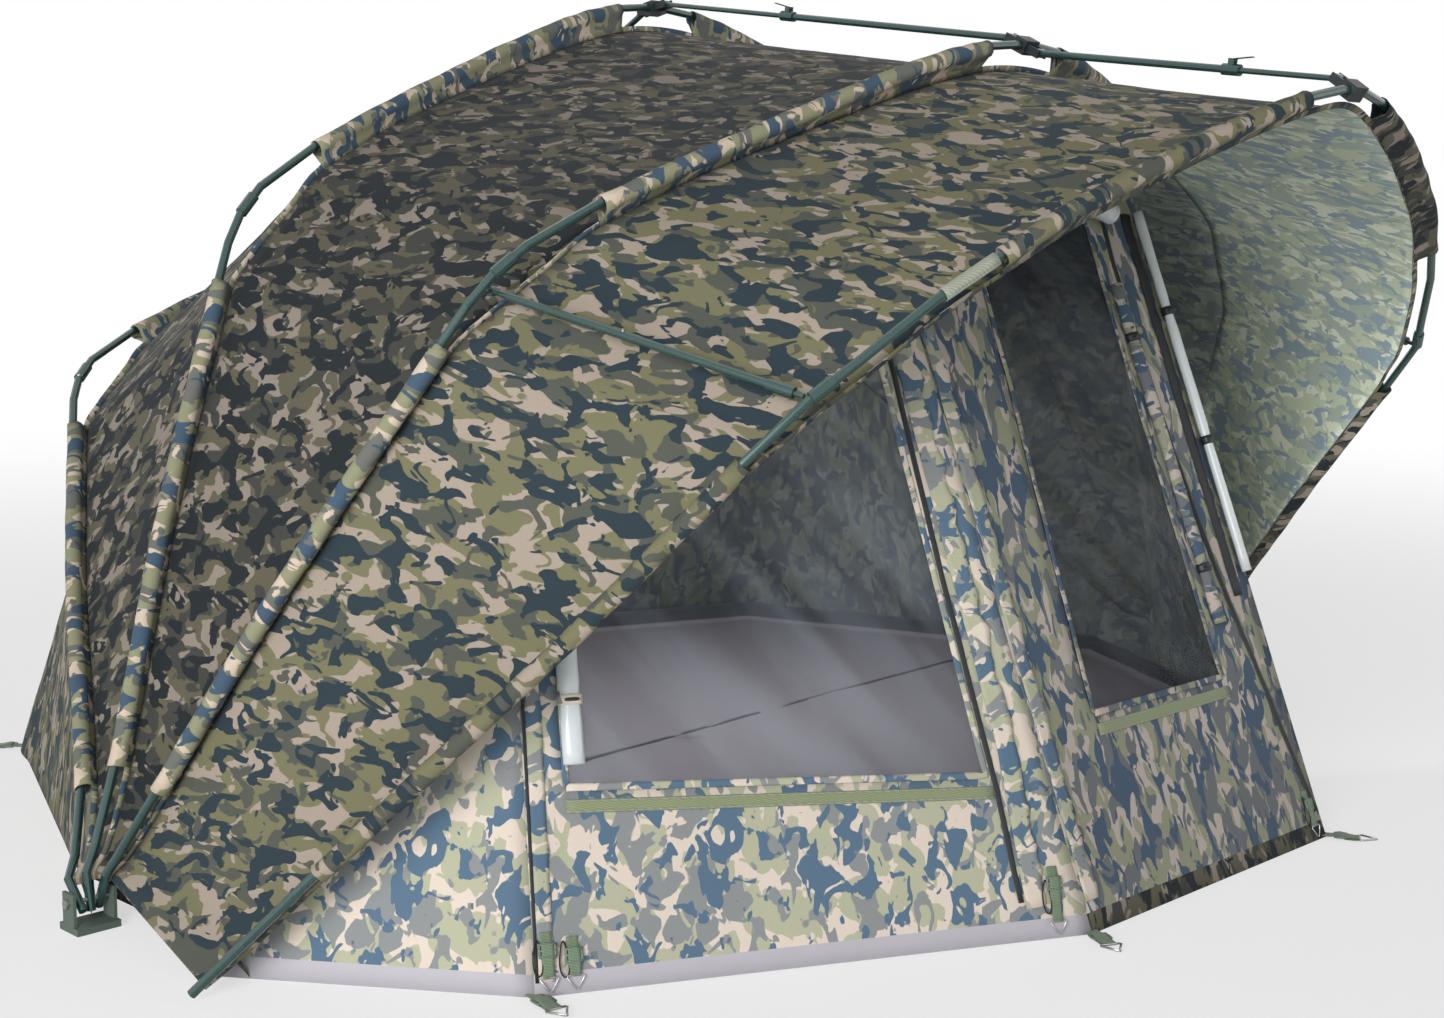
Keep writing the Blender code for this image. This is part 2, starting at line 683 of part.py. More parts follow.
def rear_hem(key):
    """The rear hem's x and y at a seam key, straight between its listed points."""
    for low, high in zip(REAR_LINE, REAR_LINE[1:]):
        if key <= high[0]:
            share = (key - low[0]) / (high[0] - low[0])
            return low[1] + (high[1] - low[1]) * share, low[2] + (high[2] - low[2]) * share
    return REAR_LINE[-1][1:]


def build_canopy(name, back, front, slot):
    """Cloth between two ribs, stretched straight from seam to seam."""
    grid = []
    for side, key in walk(SEAM_KEY, len(KEYS_ABC) - 1):
        start = seam_point(back, side, key) + across(back) * SEAM_GAP
        end = seam_point(front, side, key) - across(front) * SEAM_GAP
        grid.append([start.lerp(end, j / (PANEL_ROWS - 1)) for j in range(PANEL_ROWS)])
    return closed_sheet(name, grid, slot)


def build_rear():
    """The rear wall, from the rear rib's seam down to the ground."""
    grid = []
    for side, key in walk(SEAM_KEY, len(KEYS_ABC) - 1):
        x, y = rear_hem(key)
        start = seam_point("a", side, key) - across("a") * SEAM_GAP
        end = Vector((side * x, y, HEM_Z))
        grid.append([start.lerp(end, j / (PANEL_ROWS - 1)) for j in range(PANEL_ROWS)])
    return closed_sheet("canopy_rear", grid, "camo_wall")


def flat_panel(name, corners, slot, thickness=CLOTH):
    """A flat thin solid on a polygon of points."""
    bm = bmesh.new()
    base = bm.faces.new([bm.verts.new(p) for p in corners])
    base.normal_update()
    half = base.normal * (thickness / 2)
    bmesh.ops.translate(bm, vec=-half, verts=bm.verts)
    made = bmesh.ops.extrude_face_region(bm, geom=[base])
    moved = [v for v in made["geom"] if isinstance(v, bmesh.types.BMVert)]
    bmesh.ops.translate(bm, vec=half * 2, verts=moved)
    return new_object(name, bm, slot) if name else bm


def inset(corners, distance):
    """The polygon drawn in by this distance on every side."""
    count = len(corners)
    normal = Vector((0, 0, 0))
    for k in range(count):
        normal += corners[k].cross(corners[(k + 1) % count])
    normal.normalize()
    found = []
    for k in range(count):
        before = (corners[k] - corners[k - 1]).normalized()
        after = (corners[(k + 1) % count] - corners[k]).normalized()
        inward = normal.cross(before) + normal.cross(after)
        inward.normalize()
        found.append(corners[k] + inward * (distance / inward.dot(normal.cross(after))))
    return found


def on_panel(origin, corner, top, along, height):
    """A point of a wall's plane, from its distance along the ground edge and its height."""
    way = (corner - origin).normalized()
    lift = top - origin
    lift = (lift - way * lift.dot(way)) / lift.z
    return origin + way * along + lift * height


def wall_points():
    left_out = Vector((-FRONT_TOP_OUT_X, FRONT_TOP_OUT_Y, FRONT_TOP_OUT_Z))
    p1 = Vector(FRONT_P1)
    p2 = Vector(FRONT_P2)
    p3 = Vector(FRONT_P3)
    p4 = Vector(FRONT_P4)
    in_left = Vector((-FRONT_TOP_IN[0], FRONT_TOP_IN[1], FRONT_TOP_IN[2]))
    in_right = Vector(FRONT_TOP_IN)
    return p1, p2, p3, p4, left_out, in_left, in_right


def plane_y(a, b, c, x, z):
    """The y of the point with this x and z on the plane through three points."""
    n = (b - a).cross(c - a)
    return a.y - (n.x * (x - a.x) + n.z * (z - a.z)) / n.y


def build_front():
    p1, p2, p3, p4, left_out, in_left, in_right = wall_points()
    left_out.y = plane_y(p1, p2, in_left, left_out.x, left_out.z)
    left_mid = Vector((-FRONT_TOP_MID_X, 0, FRONT_TOP_MID_Z))
    left_mid.y = plane_y(p1, p2, in_left, left_mid.x, left_mid.z)
    right_out = Vector((-left_out.x, 0, left_out.z))
    right_out.y = plane_y(p3, p4, in_right, right_out.x, right_out.z)
    right_mid = Vector((-left_mid.x, 0, left_mid.z))
    right_mid.y = plane_y(p3, p4, in_right, right_mid.x, right_mid.z)
    ridge = Vector(FRONT_TOP_RIDGE)
    ridge.y = plane_y(p2, p3, in_right, ridge.x, ridge.z)
    left = inset([p1, p2, in_left, left_mid, left_out], WALL_GAP)
    door = inset([p2, p3, in_right, ridge, in_left], WALL_GAP)
    right = inset([p3, p4, right_out, right_mid, in_right], WALL_GAP)
    foot_left = Vector(FRONT_FOOT_LEFT)
    foot_right = Vector(FRONT_FOOT_RIGHT)
    flat_panel("front_side_left", inset([foot_left, p1, left_out], WALL_GAP), "camo_wall")
    window_left = flat_panel("front_window_left", left, "camo_wall")
    door_panel = flat_panel("front_door", door, "camo_wall")
    flat_panel("front_window_right", right, "camo_wall")
    flat_panel("front_side_right", inset([p4, foot_right, right_out], WALL_GAP), "camo_wall")
    hole = [on_panel(p1, p2, in_left, a, h) for a, h in LEFT_WINDOW]
    cut(window_left, flat_panel(None, hole, "camo_wall", OVERRUN))
    flat_panel("window_mesh_left", inset(hole, WINDOW_GAP), "window_mesh", MESH_T)
    middle = (p2 + p3) / 2
    hole = [on_panel(middle, p3, ridge, a, h) for a, h in DOOR_WINDOW]
    cut(door_panel, flat_panel(None, hole, "camo_wall", OVERRUN))
    flat_panel("window_mesh_door", inset(hole, WINDOW_GAP), "window_mesh", MESH_T)
    build_cover("window_cover_left", p1, p2, in_left, LEFT_COVER)
    build_cover("window_cover_door", middle, p3, ridge, DOOR_COVER)


def build_cover(name, origin, corner, top, ends):
    """A clear window cover, rolled up and tied beside its window."""
    normal = (corner - origin).cross(top - origin).normalized()
    off = normal * (COVER_STAND_OFF if normal.y < 0 else -COVER_STAND_OFF)
    path = [on_panel(origin, corner, top, a, h) + off for a, h in ends]
    return new_object(name, tube_mesh(path, COVER_R, RIB_SIDES, Vector((1, 0, 0))), "clear_cover")


def build_groundsheet():
    line = [Vector((x, y, 0)) for x, y in SHEET_LINE]
    bm = bmesh.new()
    base = bm.faces.new([bm.verts.new(p) for p in line])
    made = bmesh.ops.extrude_face_region(bm, geom=[base])
    moved = [v for v in made["geom"] if isinstance(v, bmesh.types.BMVert)]
    bmesh.ops.translate(bm, vec=(0, 0, SHEET_RIM_Z), verts=moved)
    tray = new_object("groundsheet", bm, "groundsheet_grey")
    bm = bmesh.new()
    inner = [Vector((p.x * SHEET_RIM_SCALE_SHARE, p.y * SHEET_RIM_SCALE_SHARE, SHEET_T)) for p in line]
    base = bm.faces.new([bm.verts.new(p) for p in inner])
    made = bmesh.ops.extrude_face_region(bm, geom=[base])
    moved = [v for v in made["geom"] if isinstance(v, bmesh.types.BMVert)]
    bmesh.ops.translate(bm, vec=(0, 0, SHEET_RIM_Z + OVERRUN), verts=moved)
    cut(tray, bm)


PEG_STRAPS = (
    # name, hem corner (x, y), heading in degrees from +X, strap length
    ("peg_strap_front_left", (-1.264, -0.743), -100, 0.075),
    ("peg_strap_door_left", (-0.393, -1.176), -118, 0.075),
    ("peg_strap_door_right", (0.393, -1.176), -62, 0.075),
    ("peg_strap_front_right", (1.135, -0.551), -60, 0.075),
    ("peg_strap_rear_left", (-1.130, 1.136), 135, 0.075),
    ("peg_strap_rear_right", (1.130, 1.136), 45, 0.075),
)


def build_peg_strap(name, corner, heading, long):
    """Webbing from a hem corner through a ladder-lock buckle to a triangular peg ring, lying on the ground."""
    place = Matrix.Translation((corner[0], corner[1], STRAP_LIFT)) @ Matrix.Rotation(math.radians(heading), 4, "Z")
    low = (0, -WEB_HALF, -WEB_T / 2)
    high = (long, WEB_HALF, WEB_T / 2)
    strap = new_object(name, box_mesh(low, high, place), "olive_webbing")
    middle = long / 2
    low = (middle - LOCK_HALF_Y, -LOCK_HALF_X, -LOCK_T / 2)
    high = (middle + LOCK_HALF_Y, LOCK_HALF_X, LOCK_T / 2)
    join(strap, box_mesh(low, high, place))
    corners = [(long - RING_BACK, -RING_HALF), (long + RING_LONG, 0), (long - RING_BACK, RING_HALF)]
    points = [place @ Vector((x, y, RING_LIFT)) for x, y in corners]
    ring = flat_panel(None, points, "olive_webbing", RING_T)
    join(strap, ring)
    cut(strap, flat_panel(None, inset(points, RING_WIRE), "olive_webbing", OVERRUN))


def build_storage_strap():
    path = [rib_point("d", -1, k) for k in range(STRAP_KEYS[0], STRAP_KEYS[1] + 1)]
    way = (path[1] - path[0]).normalized()
    path = [path[0] + way * CROWN_START, path[1] - way * CROWN_START]
    new_object("storage_strap", pipe_mesh(path, SLEEVE_OUT_R, STRAP_IN_R, RIB_SIDES), "pale_strap")


def main():
    clear_scene()
    for side in (-1, 1):
        build_pivot(side)
        for rib in RIBS:
            build_leg(rib, side)
    for rib in RIBS:
        build_crown(rib)
        build_sleeves(rib)
    build_bracket("a", (1,))
    build_bracket("b", (-1, 1))
    build_bracket("c", (-1, 1))
    build_bracket("d", (-1,))
    build_ridge_bar("rear", ridge_pin("b", -1), ridge_pin("a", 1), REAR_OUTER_LONG)
    build_ridge_bar("mid", ridge_pin("c", -1), ridge_pin("b", 1), MID_OUTER_LONG)
    build_ridge_bar("front", ridge_pin("c", 1), ridge_pin("d", -1), FRONT_OUTER_LONG)
    for side in (-1, 1):
        build_side_bar(side)
    build_rear()
    build_canopy("canopy_rear_roof", "a", "b", "camo_roof")
    build_canopy("canopy_middle_roof", "b", "c", "camo_roof")
    build_canopy("canopy_front_hood", "c", "d", "camo_wall")
    build_front()
    build_groundsheet()
    for name, corner, heading, long in PEG_STRAPS:
        build_peg_strap(name, corner, heading, long)
    build_storage_strap()


main()
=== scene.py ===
"""Builds the bivvy tent's cloth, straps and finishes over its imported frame, with a plain stage and
the photograph's camera."""

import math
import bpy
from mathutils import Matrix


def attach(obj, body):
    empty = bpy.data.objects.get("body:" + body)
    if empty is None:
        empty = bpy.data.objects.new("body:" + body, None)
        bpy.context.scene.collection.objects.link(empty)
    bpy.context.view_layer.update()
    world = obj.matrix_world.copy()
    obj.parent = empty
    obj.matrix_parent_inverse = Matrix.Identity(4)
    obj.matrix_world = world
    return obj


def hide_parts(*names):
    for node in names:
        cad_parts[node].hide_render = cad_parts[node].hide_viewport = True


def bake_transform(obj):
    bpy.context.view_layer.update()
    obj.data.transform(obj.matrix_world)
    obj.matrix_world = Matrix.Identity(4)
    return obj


bl_info = {
    "name": "Bivvy tent",
    "version": (1, 0, 0),
    "blender": (4, 5, 0),
    "location": "View3D > Sidebar > Bivvy",
    "description": "Dresses a packed bivvy tent frame with its cloth, straps and finishes",
    "category": "Object",
}

import bmesh
import bpy
from mathutils import Matrix, Vector, noise

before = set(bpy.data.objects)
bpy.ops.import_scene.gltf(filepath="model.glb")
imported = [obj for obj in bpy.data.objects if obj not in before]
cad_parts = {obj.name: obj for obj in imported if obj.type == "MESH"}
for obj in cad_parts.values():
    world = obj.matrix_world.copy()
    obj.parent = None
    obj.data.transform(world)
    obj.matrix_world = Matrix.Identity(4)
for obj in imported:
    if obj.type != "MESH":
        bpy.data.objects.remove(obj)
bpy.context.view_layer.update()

# The frame's own lines, repeated from the solids, in metres
FOOT_STEP = 0.020
FOOT_FADE_S = 0.25
# Each rib's plane: an origin (y, z), the direction (y, z) up along it, and its share of the step at
# the pivot
RIBS = {
    "a": ((0.0, 0.05), (0.7330, 0.6802), 1.0),
    "b": ((0.0, 0.05), (0.2011, 0.9796), 0.0),
    "c": ((0.0, 0.05), (-0.4254, 0.9050), -1.0),
    "d": ((-0.393, 0.0), (-0.5655, 0.8248), 0.0),
}
# Points along a rib: the tube's x and distance along the plane, then the same for the canopy's seam
# beside it
KEYS_ABC = (
    (1.600, -0.020, 1.600, -0.020),
    (1.600, 0.045, 1.580, 0.045),
    (1.578, 0.085, 1.548, 0.082),
    (1.524, 0.210, 1.494, 0.202),
    (1.459, 0.390, 1.430, 0.381),
    (1.390, 0.580, 1.361, 0.569),
    (1.325, 0.740, 1.297, 0.728),
    (1.258, 0.895, 1.230, 0.882),
    (1.196, 1.035, 1.168, 1.020),
    (1.165, 1.105, 1.112, 1.082),
    (1.130, 1.160, 1.060, 1.130),
    (1.080, 1.210, 1.005, 1.180),
    (0.948, 1.288, 0.935, 1.243),
    (0.780, 1.366, 0.766, 1.330),
    (0.600, 1.442, 0.586, 1.403),
    (0.450, 1.503, 0.437, 1.460),
    (0.300, 1.560, 0.290, 1.512),
    (0.200, 1.592, 0.193, 1.541),
    (0.112, 1.612, 0.108, 1.560),
    (0.035, 1.620, 0.035, 1.567),
)
KEYS_D = (
    (1.652, 0.013, 1.652, 0.013),
    (1.625, 0.057, 1.600, 0.050),
    (1.590, 0.114, 1.562, 0.100),
    (1.510, 0.244, 1.482, 0.229),
    (1.413, 0.393, 1.385, 0.376),
    (1.318, 0.538, 1.290, 0.521),
    (1.227, 0.677, 1.199, 0.661),
    (1.142, 0.825, 1.111, 0.813),
    (1.040, 1.010, 1.008, 0.996),
    (1.000, 1.075, 0.960, 1.052),
    (0.965, 1.130, 0.920, 1.102),
    (0.903, 1.196, 0.858, 1.166),
    (0.800, 1.310, 0.765, 1.272),
    (0.703, 1.390, 0.672, 1.350),
    (0.590, 1.478, 0.565, 1.435),
    (0.450, 1.556, 0.430, 1.512),
    (0.330, 1.618, 0.315, 1.573),
    (0.228, 1.661, 0.218, 1.617),
    (0.128, 1.697, 0.122, 1.655),
    (0.035, 1.717, 0.035, 1.680),
)
RIGHT_FOOT_SHIFT = (-0.267, 0.198)
LEG_TOP_S = 1.130
# How far in and up the cloth starts beside a rib's foot
FOOT_SEAM = {"abc": (1.584, 0.030), "d": (1.628, 0.016)}
# First and last key of each sleeve, and of the pale strap round the front rib's tube
LOWER_SLEEVE = (3, 8)
UPPER_SLEEVE = (12, 18)
FRONT_UPPER_SLEEVE = (13, 18)
STRAP_KEYS = (12, 13)
CUFF_INSET = 0.0114
CUFF_R = 0.0096
# The rear wall's hem on the ground: key of the seam above it, then x and y
REAR_LINE = (
    (2, 1.520, 0.130),
    (5, 1.445, 0.350),
    (11, 1.137, 1.143),
    (15, 0.620, 1.430),
    (19, 0.035, 1.560),
)
REAR_FOOT = ((1.566, 0.060), (1.548, 0.088))
HEM_Z = 0.0008
FLOOR_Z = -0.0004
# The front wall's corners on the ground from left to right, and its upper corners under the hood
P1 = Vector((-1.265, -0.753, HEM_Z))
P2 = Vector((-0.398, -1.185, HEM_Z))
P3 = Vector((0.398, -1.185, HEM_Z))
P4 = Vector((1.140, -0.560, HEM_Z))
TOP_OUT_X = 1.060
TOP_OUT_Z = 1.053
TOP_MID_X = 0.740
TOP_MID_Z = 1.222
TOP_IN = Vector((0.400, -0.622, 1.361))
TOP_RIDGE_Z = 1.425
FOOT_LEFT = Vector((-1.5768, -0.330, HEM_Z))
FOOT_RIGHT = Vector((1.350, -0.190, HEM_Z))
# Windows and rolled covers in the flat metres of their walls: along the ground, then up
LEFT_WINDOW = ((0.080, 0.300), (0.805, 0.265), (0.700, 0.950), (0.100, 0.950))
DOOR_WINDOW = ((-0.218, 0.330), (0.197, 0.330), (0.203, 1.195), (-0.165, 1.195))
LEFT_COVER = ((0.092, 0.330), (0.100, 0.930))
DOOR_COVER = ((0.236, 0.420), (0.228, 1.060))
CORNER_COVER = ((0.382, 0.50), (0.380, 1.20))
COVER_END = ((0.205, 1.212), (0.262, 1.190))
# Zips, the left storm flap and the wide black band beside the corner's rolled cover, in their
# walls' flat metres
LEFT_ZIP = ((0.842, 0.06), (0.824, 0.24), (0.772, 0.58), (0.722, 0.96), (0.708, 1.04))
DOOR_ZIP = (
    (0.389, 0.05),
    (0.348, 0.23),
    (0.305, 0.45),
    (0.280, 0.645),
    (0.268, 0.84),
    (0.262, 1.10),
    (0.268, 1.24),
)
CORNER_BAND = ((0.343, 0.46), (0.346, 0.80), (0.348, 1.20))
LEFT_FLAP = ((0.868, 0.05), (0.852, 0.30), (0.748, 0.96), (0.735, 1.06))
# Seeds of the two walls' folds, so that what is sewn on a wall follows its cloth
LEFT_SEED = 3.0
DOOR_SEED = 8.0
# The groundsheet's outline, and the seam across it
SHEET_LINE = (
    (-1.470, 0.100),
    (-1.095, 1.060),
    (0.0, 1.470),
    (1.095, 1.060),
    (1.470, 0.100),
    (1.110, -0.560),
    (0.400, -1.158),
    (-0.402, -1.158),
    (-1.235, -0.743),
)
GROUND_SEAM = (Vector((-0.98, 0.172, 0)), Vector((1.15, 0.296, 0)))
# Each peg strap: its solid, its corner on the ground and its heading in degrees
PEG_STRAPS = (
    ("peg_strap_front_left", (-1.264, -0.743), -100),
    ("peg_strap_door_left", (-0.393, -1.176), -118),
    ("peg_strap_door_right", (0.393, -1.176), -62),
    ("peg_strap_front_right", (1.135, -0.551), -60),
    ("peg_strap_rear_left", (-1.130, 1.136), 135),
    ("peg_strap_rear_right", (1.130, 1.136), 45),
)
# Middle of each pair of ribs at this distance from the pivot, which marks where cloth between two
# bodies turns; the marks are worked out but turn no cloth
BLEND_S = 0.8
# A point inside the tent, from which its cloth faces away
MIDDLE = Vector((0, 0.2, 0.4))
# A panel's edge stops this far short of its rib's plane
SEAM_GAP = 0.0009
ROOF_SAG = 0.006
HOOD_SAG = 0.005
PANEL_COLUMNS = 25
REAR_WALL_ROWS = 20
# Where the hood turns with the front rib: distance of its hinge from the pivot, and how far in front
# of it; the points are worked out but turn no cloth
HOOD_HINGE_S = 0.9
HOOD_TURN_LONG = 0.36
# The foot gussets hang from this row of the hood, up to this column, and run back to the rear
# wall's foot
GUSSET_ROW = 8
GUSSET_END = 22
GUSSET_STEPS = 5
GUSSET_X = 1.536
GUSSET_Z = 0.112
GUSSET_REAR_Y = (0.115, 0.090, 0.065, 0.040)
# Points of a seam from one key to the next
SEAM_STEPS = 5
# The cloth hangs on the tube's outer side, so a sleeve's middle lies nearer the seam than its tube
# does
SLEEVE_SHIFT = 0.0055
# Rows of a sleeve between two keys, and the column at the back of its tube
SLEEVE_STEPS = 7
SLEEVE_BACK = 8
# Thicknesses of the folded strip on the seams, sewn tape, window mesh, webbing and a rolled cover's
# film
STRIP_T = 0.0016
TAPE_T = 0.0011
TAPE_CROWN = 0.0006
MESH_T = 0.0006
WEB_T = 0.0013
ROLL_T = 0.0005
# Height of the coated mud flap at the foot of the front wall
SKIRT_H = 0.032
# Heights of the rows of points on a wall without a window
PLAIN_BANDS = (0.0, SKIRT_H, 0.33, 0.85)

# The photograph's camera: place, heading, tilt, roll in degrees and focal length in pixels of its
# width
CAMERA_AT = (-3.264, -3.104, 1.228)
CAMERA_HEADING = -45.56
CAMERA_DOWN = 8.52
CAMERA_ROLL = 0.75
CAMERA_FOCAL_PX = 2087.0
PHOTO_WIDTH_PX = 1444.0
SENSOR_MM = 36.0


def linear(hex_colour):
    """An sRGB hex colour as linear RGBA."""
    value = hex_colour.lstrip("#")
    found = []
    for k in (0, 2, 4):
        channel = int(value[k : k + 2], 16) / 255
        found.append(channel / 12.92 if channel <= 0.04045 else ((channel + 0.055) / 1.055) ** 2.4)
    return (*found, 1.0)


def shaded(colour, share):
    """A linear colour made darker or paler by a share, for painted shade and painted light."""
    return (*(min(channel * share, 1.0) for channel in colour[:3]), 1.0)


def add_node(tree, kind, settings=None, links=None):
    """One node with its settings by name and its links: input name or index to an output socket, or
    a plain value."""
    node = tree.nodes.new(kind)
    for name, value in (settings or {}).items():
        setattr(node, name, value)
    for name, value in (links or {}).items():
        if isinstance(value, bpy.types.NodeSocket):
            tree.links.new(value, node.inputs[name])
        else:
            node.inputs[name].default_value = value
    return node


# Sockets of the Mix node when it mixes colours
MIX_A, MIX_B, MIX_OUT = 6, 7, 2


def start_material(name, settings):
    """A material with a Principled shader whose constant values sit on its own sockets."""
    made = bpy.data.materials.new(name)
    made.use_nodes = True
    tree = made.node_tree
    shader = tree.nodes["Principled BSDF"]
    for socket, value in settings.items():
        shader.inputs[socket].default_value = value
    return made, tree, shader


class BivvySizes(bpy.types.PropertyGroup):
    cloth: bpy.props.FloatProperty(
        name="Cloth thickness",
        description="Thickness of the coated cloth",
        default=0.0012,
        unit="LENGTH",
    )
    wrinkle: bpy.props.FloatProperty(
        name="Wrinkle height",
        description="Height of the small tension wrinkles",
        default=0.0035,
        unit="LENGTH",
    )
    sleeve: bpy.props.FloatProperty(
        name="Sleeve radius",
        description="Outside radius of a sleeve round its tube",
        default=0.0152,
        unit="LENGTH",
    )
    binding: bpy.props.FloatProperty(
        name="Binding width",
        description="Width of the bindings round the windows",
        default=0.014,
        unit="LENGTH",
    )
    zip_band: bpy.props.FloatProperty(
        name="Zip width", description="Width of a zip with its tapes", default=0.010, unit="LENGTH"
    )
    webbing: bpy.props.FloatProperty(
        name="Webbing width", description="Width of the peg straps", default=0.025, unit="LENGTH"
    )
    camo_mm: bpy.props.FloatProperty(
        name="Print repeat",
        description="Typical length of a patch of the camouflage, in millimetres",
        default=54.0,
    )


class BivvyColours(bpy.types.PropertyGroup):
    paint: bpy.props.FloatVectorProperty(
        name="Frame paint",
        description="Paint of the tubes",
        size=4,
        subtype="COLOR",
        default=linear("#2c4a47"),
    )
    webbing: bpy.props.FloatVectorProperty(
        name="Webbing",
        description="Peg strap webbing",
        size=4,
        subtype="COLOR",
        default=linear("#75886f"),
    )
    mesh: bpy.props.FloatVectorProperty(
        name="Window mesh",
        description="Yarn of the window mesh",
        size=4,
        subtype="COLOR",
        default=linear("#4c5058"),
    )
    groundsheet: bpy.props.FloatVectorProperty(
        name="Groundsheet",
        description="Coated groundsheet",
        size=4,
        subtype="COLOR",
        default=linear("#88848b"),
    )


# sRGB colours of the four inks of the print, from the palest to the darkest, as each part of the
# tent shows them. They are lit and shaded copies of one print: the roof, hood and door are darkened
# with painted shade, the front walls are made paler with painted light, the inside is the coated
# back's colour darkened a little with painted shade, and the hood's wing inside is pale with painted
# daylight through the cloth
CAMO_INKS = {
    "roof": ("#8f857a", "#5f5c4c", "#42433f", "#242a2e"),
    "hood": ("#a3978a", "#757358", "#54574f", "#2f3c43"),
    "front": ("#dacdc0", "#b2b39a", "#8b8f90", "#5a7288"),
    "door": ("#b9aea6", "#93957f", "#6d7174", "#4a5c70"),
    "sleeve": ("#cbbba9", "#8f9074", "#6c6e69", "#465a6d"),
    "inside": ("#979c95", "#878f81", "#757d7d", "#677078"),
    "wing_inside": ("#e2e8d4", "#c9d3b8", "#b2bfb2", "#99acb6"),
}
# For each part, the noise level above which each of the three darker inks lies, so that the patches
# cover as much of it as they should; the roof and hood take more of the darker inks than the front
# walls, partly print and partly painted shade
CAMO_EDGES = {
    "roof": (0.470, 0.520, 0.530),
    "hood": (0.480, 0.535, 0.548),
    "front": (0.500, 0.550, 0.562),
    "door": (0.490, 0.535, 0.548),
    "sleeve": (0.490, 0.550, 0.560),
    "inside": (0.470, 0.535, 0.555),
    "wing_inside": (0.470, 0.535, 0.555),
}


# Half the width of an ink's edge, as a noise level
INK_BLUR = 0.006


def camo_cloth(name, part, stretch, camo_mm):
    """Polyester with a pigment-printed woodland pattern and a matt water-repellent coating: soft
    broken patches in four inks with crisp edges, and almost no shine."""
    made, tree, shader = start_material(
        name,
        {
            "Roughness": 0.82,
            "IOR": 1.46,
            "Sheen Weight": 0.04,
            "Sheen Roughness": 0.6,
            "Specular IOR Level": 0.12,
        },
    )
    inks = CAMO_INKS[part]
    place = add_node(tree, "ShaderNodeTexCoord")
    scaled = add_node(
        tree, "ShaderNodeMapping", {}, {"Vector": place.outputs["UV"], "Scale": stretch}
    )
    size = 1000.0 / camo_mm
    colour = linear(inks[0])
    # each darker ink has its own noise, moved away from the others and a little finer than the one
    # before
    for ink, edge, moved, scale in zip(
        inks[1:], CAMO_EDGES[part], (0.0, 7.3, 15.1), (1.0, 1.1, 1.2)
    ):
        shift = add_node(
            tree,
            "ShaderNodeVectorMath",
            {"operation": "ADD"},
            {0: scaled.outputs["Vector"], 1: (moved, moved, moved)},
        )
        patch = add_node(
            tree,
            "ShaderNodeTexNoise",
            {"noise_dimensions": "3D"},
            {
                "Vector": shift.outputs[0],
                "Scale": size * scale,
                "Detail": 2.4,
                "Roughness": 0.46,
                "Distortion": 0.75,
            },
        )
        mask = add_node(
            tree,
            "ShaderNodeMapRange",
            {"clamp": True},
            {
                "Value": patch.outputs["Fac"],
                "From Min": edge - INK_BLUR,
                "From Max": edge + INK_BLUR,
            },
        )
        mix = add_node(
            tree,
            "ShaderNodeMix",
            {"data_type": "RGBA"},
            {"Factor": mask.outputs["Result"], MIX_A: colour, MIX_B: linear(ink)},
        )
        colour = mix.outputs[MIX_OUT]
    # slow soiling over about 0.7 m, so that no panel is evenly bright
    haze = add_node(
        tree,
        "ShaderNodeTexNoise",
        {},
        {"Vector": place.outputs["Object"], "Scale": 1.4, "Detail": 3.0},
    )
    shade = add_node(
        tree,
        "ShaderNodeMapRange",
        {},
        {"Value": haze.outputs["Fac"], "To Min": 0.86, "To Max": 1.12},
    )
    tone = add_node(
        tree,
        "ShaderNodeMix",
        {"data_type": "RGBA", "blend_type": "MULTIPLY"},
        {"Factor": 1.0, MIX_A: colour, MIX_B: shade.outputs["Result"]},
    )
    tree.links.new(tone.outputs[MIX_OUT], shader.inputs["Base Color"])
    # plain weave of 0.5 mm yarns is too fine to show, so it is drawn at 3 mm with small slow
    # creases over it
    weave = add_node(
        tree,
        "ShaderNodeTexNoise",
        {},
        {"Vector": place.outputs["Object"], "Scale": 330.0, "Detail": 1.0},
    )
    creases = add_node(
        tree,
        "ShaderNodeTexNoise",
        {},
        {"Vector": place.outputs["Object"], "Scale": 16.0, "Detail": 4.0, "Distortion": 0.6},
    )
    both = add_node(
        tree,
        "ShaderNodeMath",
        {"operation": "MULTIPLY_ADD"},
        {0: weave.outputs["Fac"], 1: 0.12, 2: creases.outputs["Fac"]},
    )
    bump = add_node(
        tree, "ShaderNodeBump", {}, {"Height": both.outputs[0], "Strength": 0.28, "Distance": 0.006}
    )
    tree.links.new(bump.outputs["Normal"], shader.inputs["Normal"])
    return made


def painted_aluminium(colours):
    """Aluminium tube with a baked satin paint: deep teal green, a tight highlight along each tube
    and slight orange peel."""
    made, tree, shader = start_material(
        "painted_aluminium",
        {
            "Base Color": tuple(colours.paint),
            "Metallic": 0.35,
            "Coat Weight": 0.7,
            "Coat Roughness": 0.10,
        },
    )
    place = add_node(tree, "ShaderNodeTexCoord")
    peel = add_node(
        tree,
        "ShaderNodeTexNoise",
        {},
        {"Vector": place.outputs["Object"], "Scale": 420.0, "Detail": 2.0},
    )
    wear = add_node(
        tree,
        "ShaderNodeTexNoise",
        {},
        {"Vector": place.outputs["Object"], "Scale": 60.0, "Detail": 4.0},
    )
    rough = add_node(
        tree,
        "ShaderNodeMapRange",
        {},
        {"Value": wear.outputs["Fac"], "To Min": 0.22, "To Max": 0.36},
    )
    bump = add_node(
        tree,
        "ShaderNodeBump",
        {},
        {"Height": peel.outputs["Fac"], "Strength": 0.06, "Distance": 0.001},
    )
    tree.links.new(rough.outputs["Result"], shader.inputs["Roughness"])
    tree.links.new(bump.outputs["Normal"], shader.inputs["Normal"])
    return made


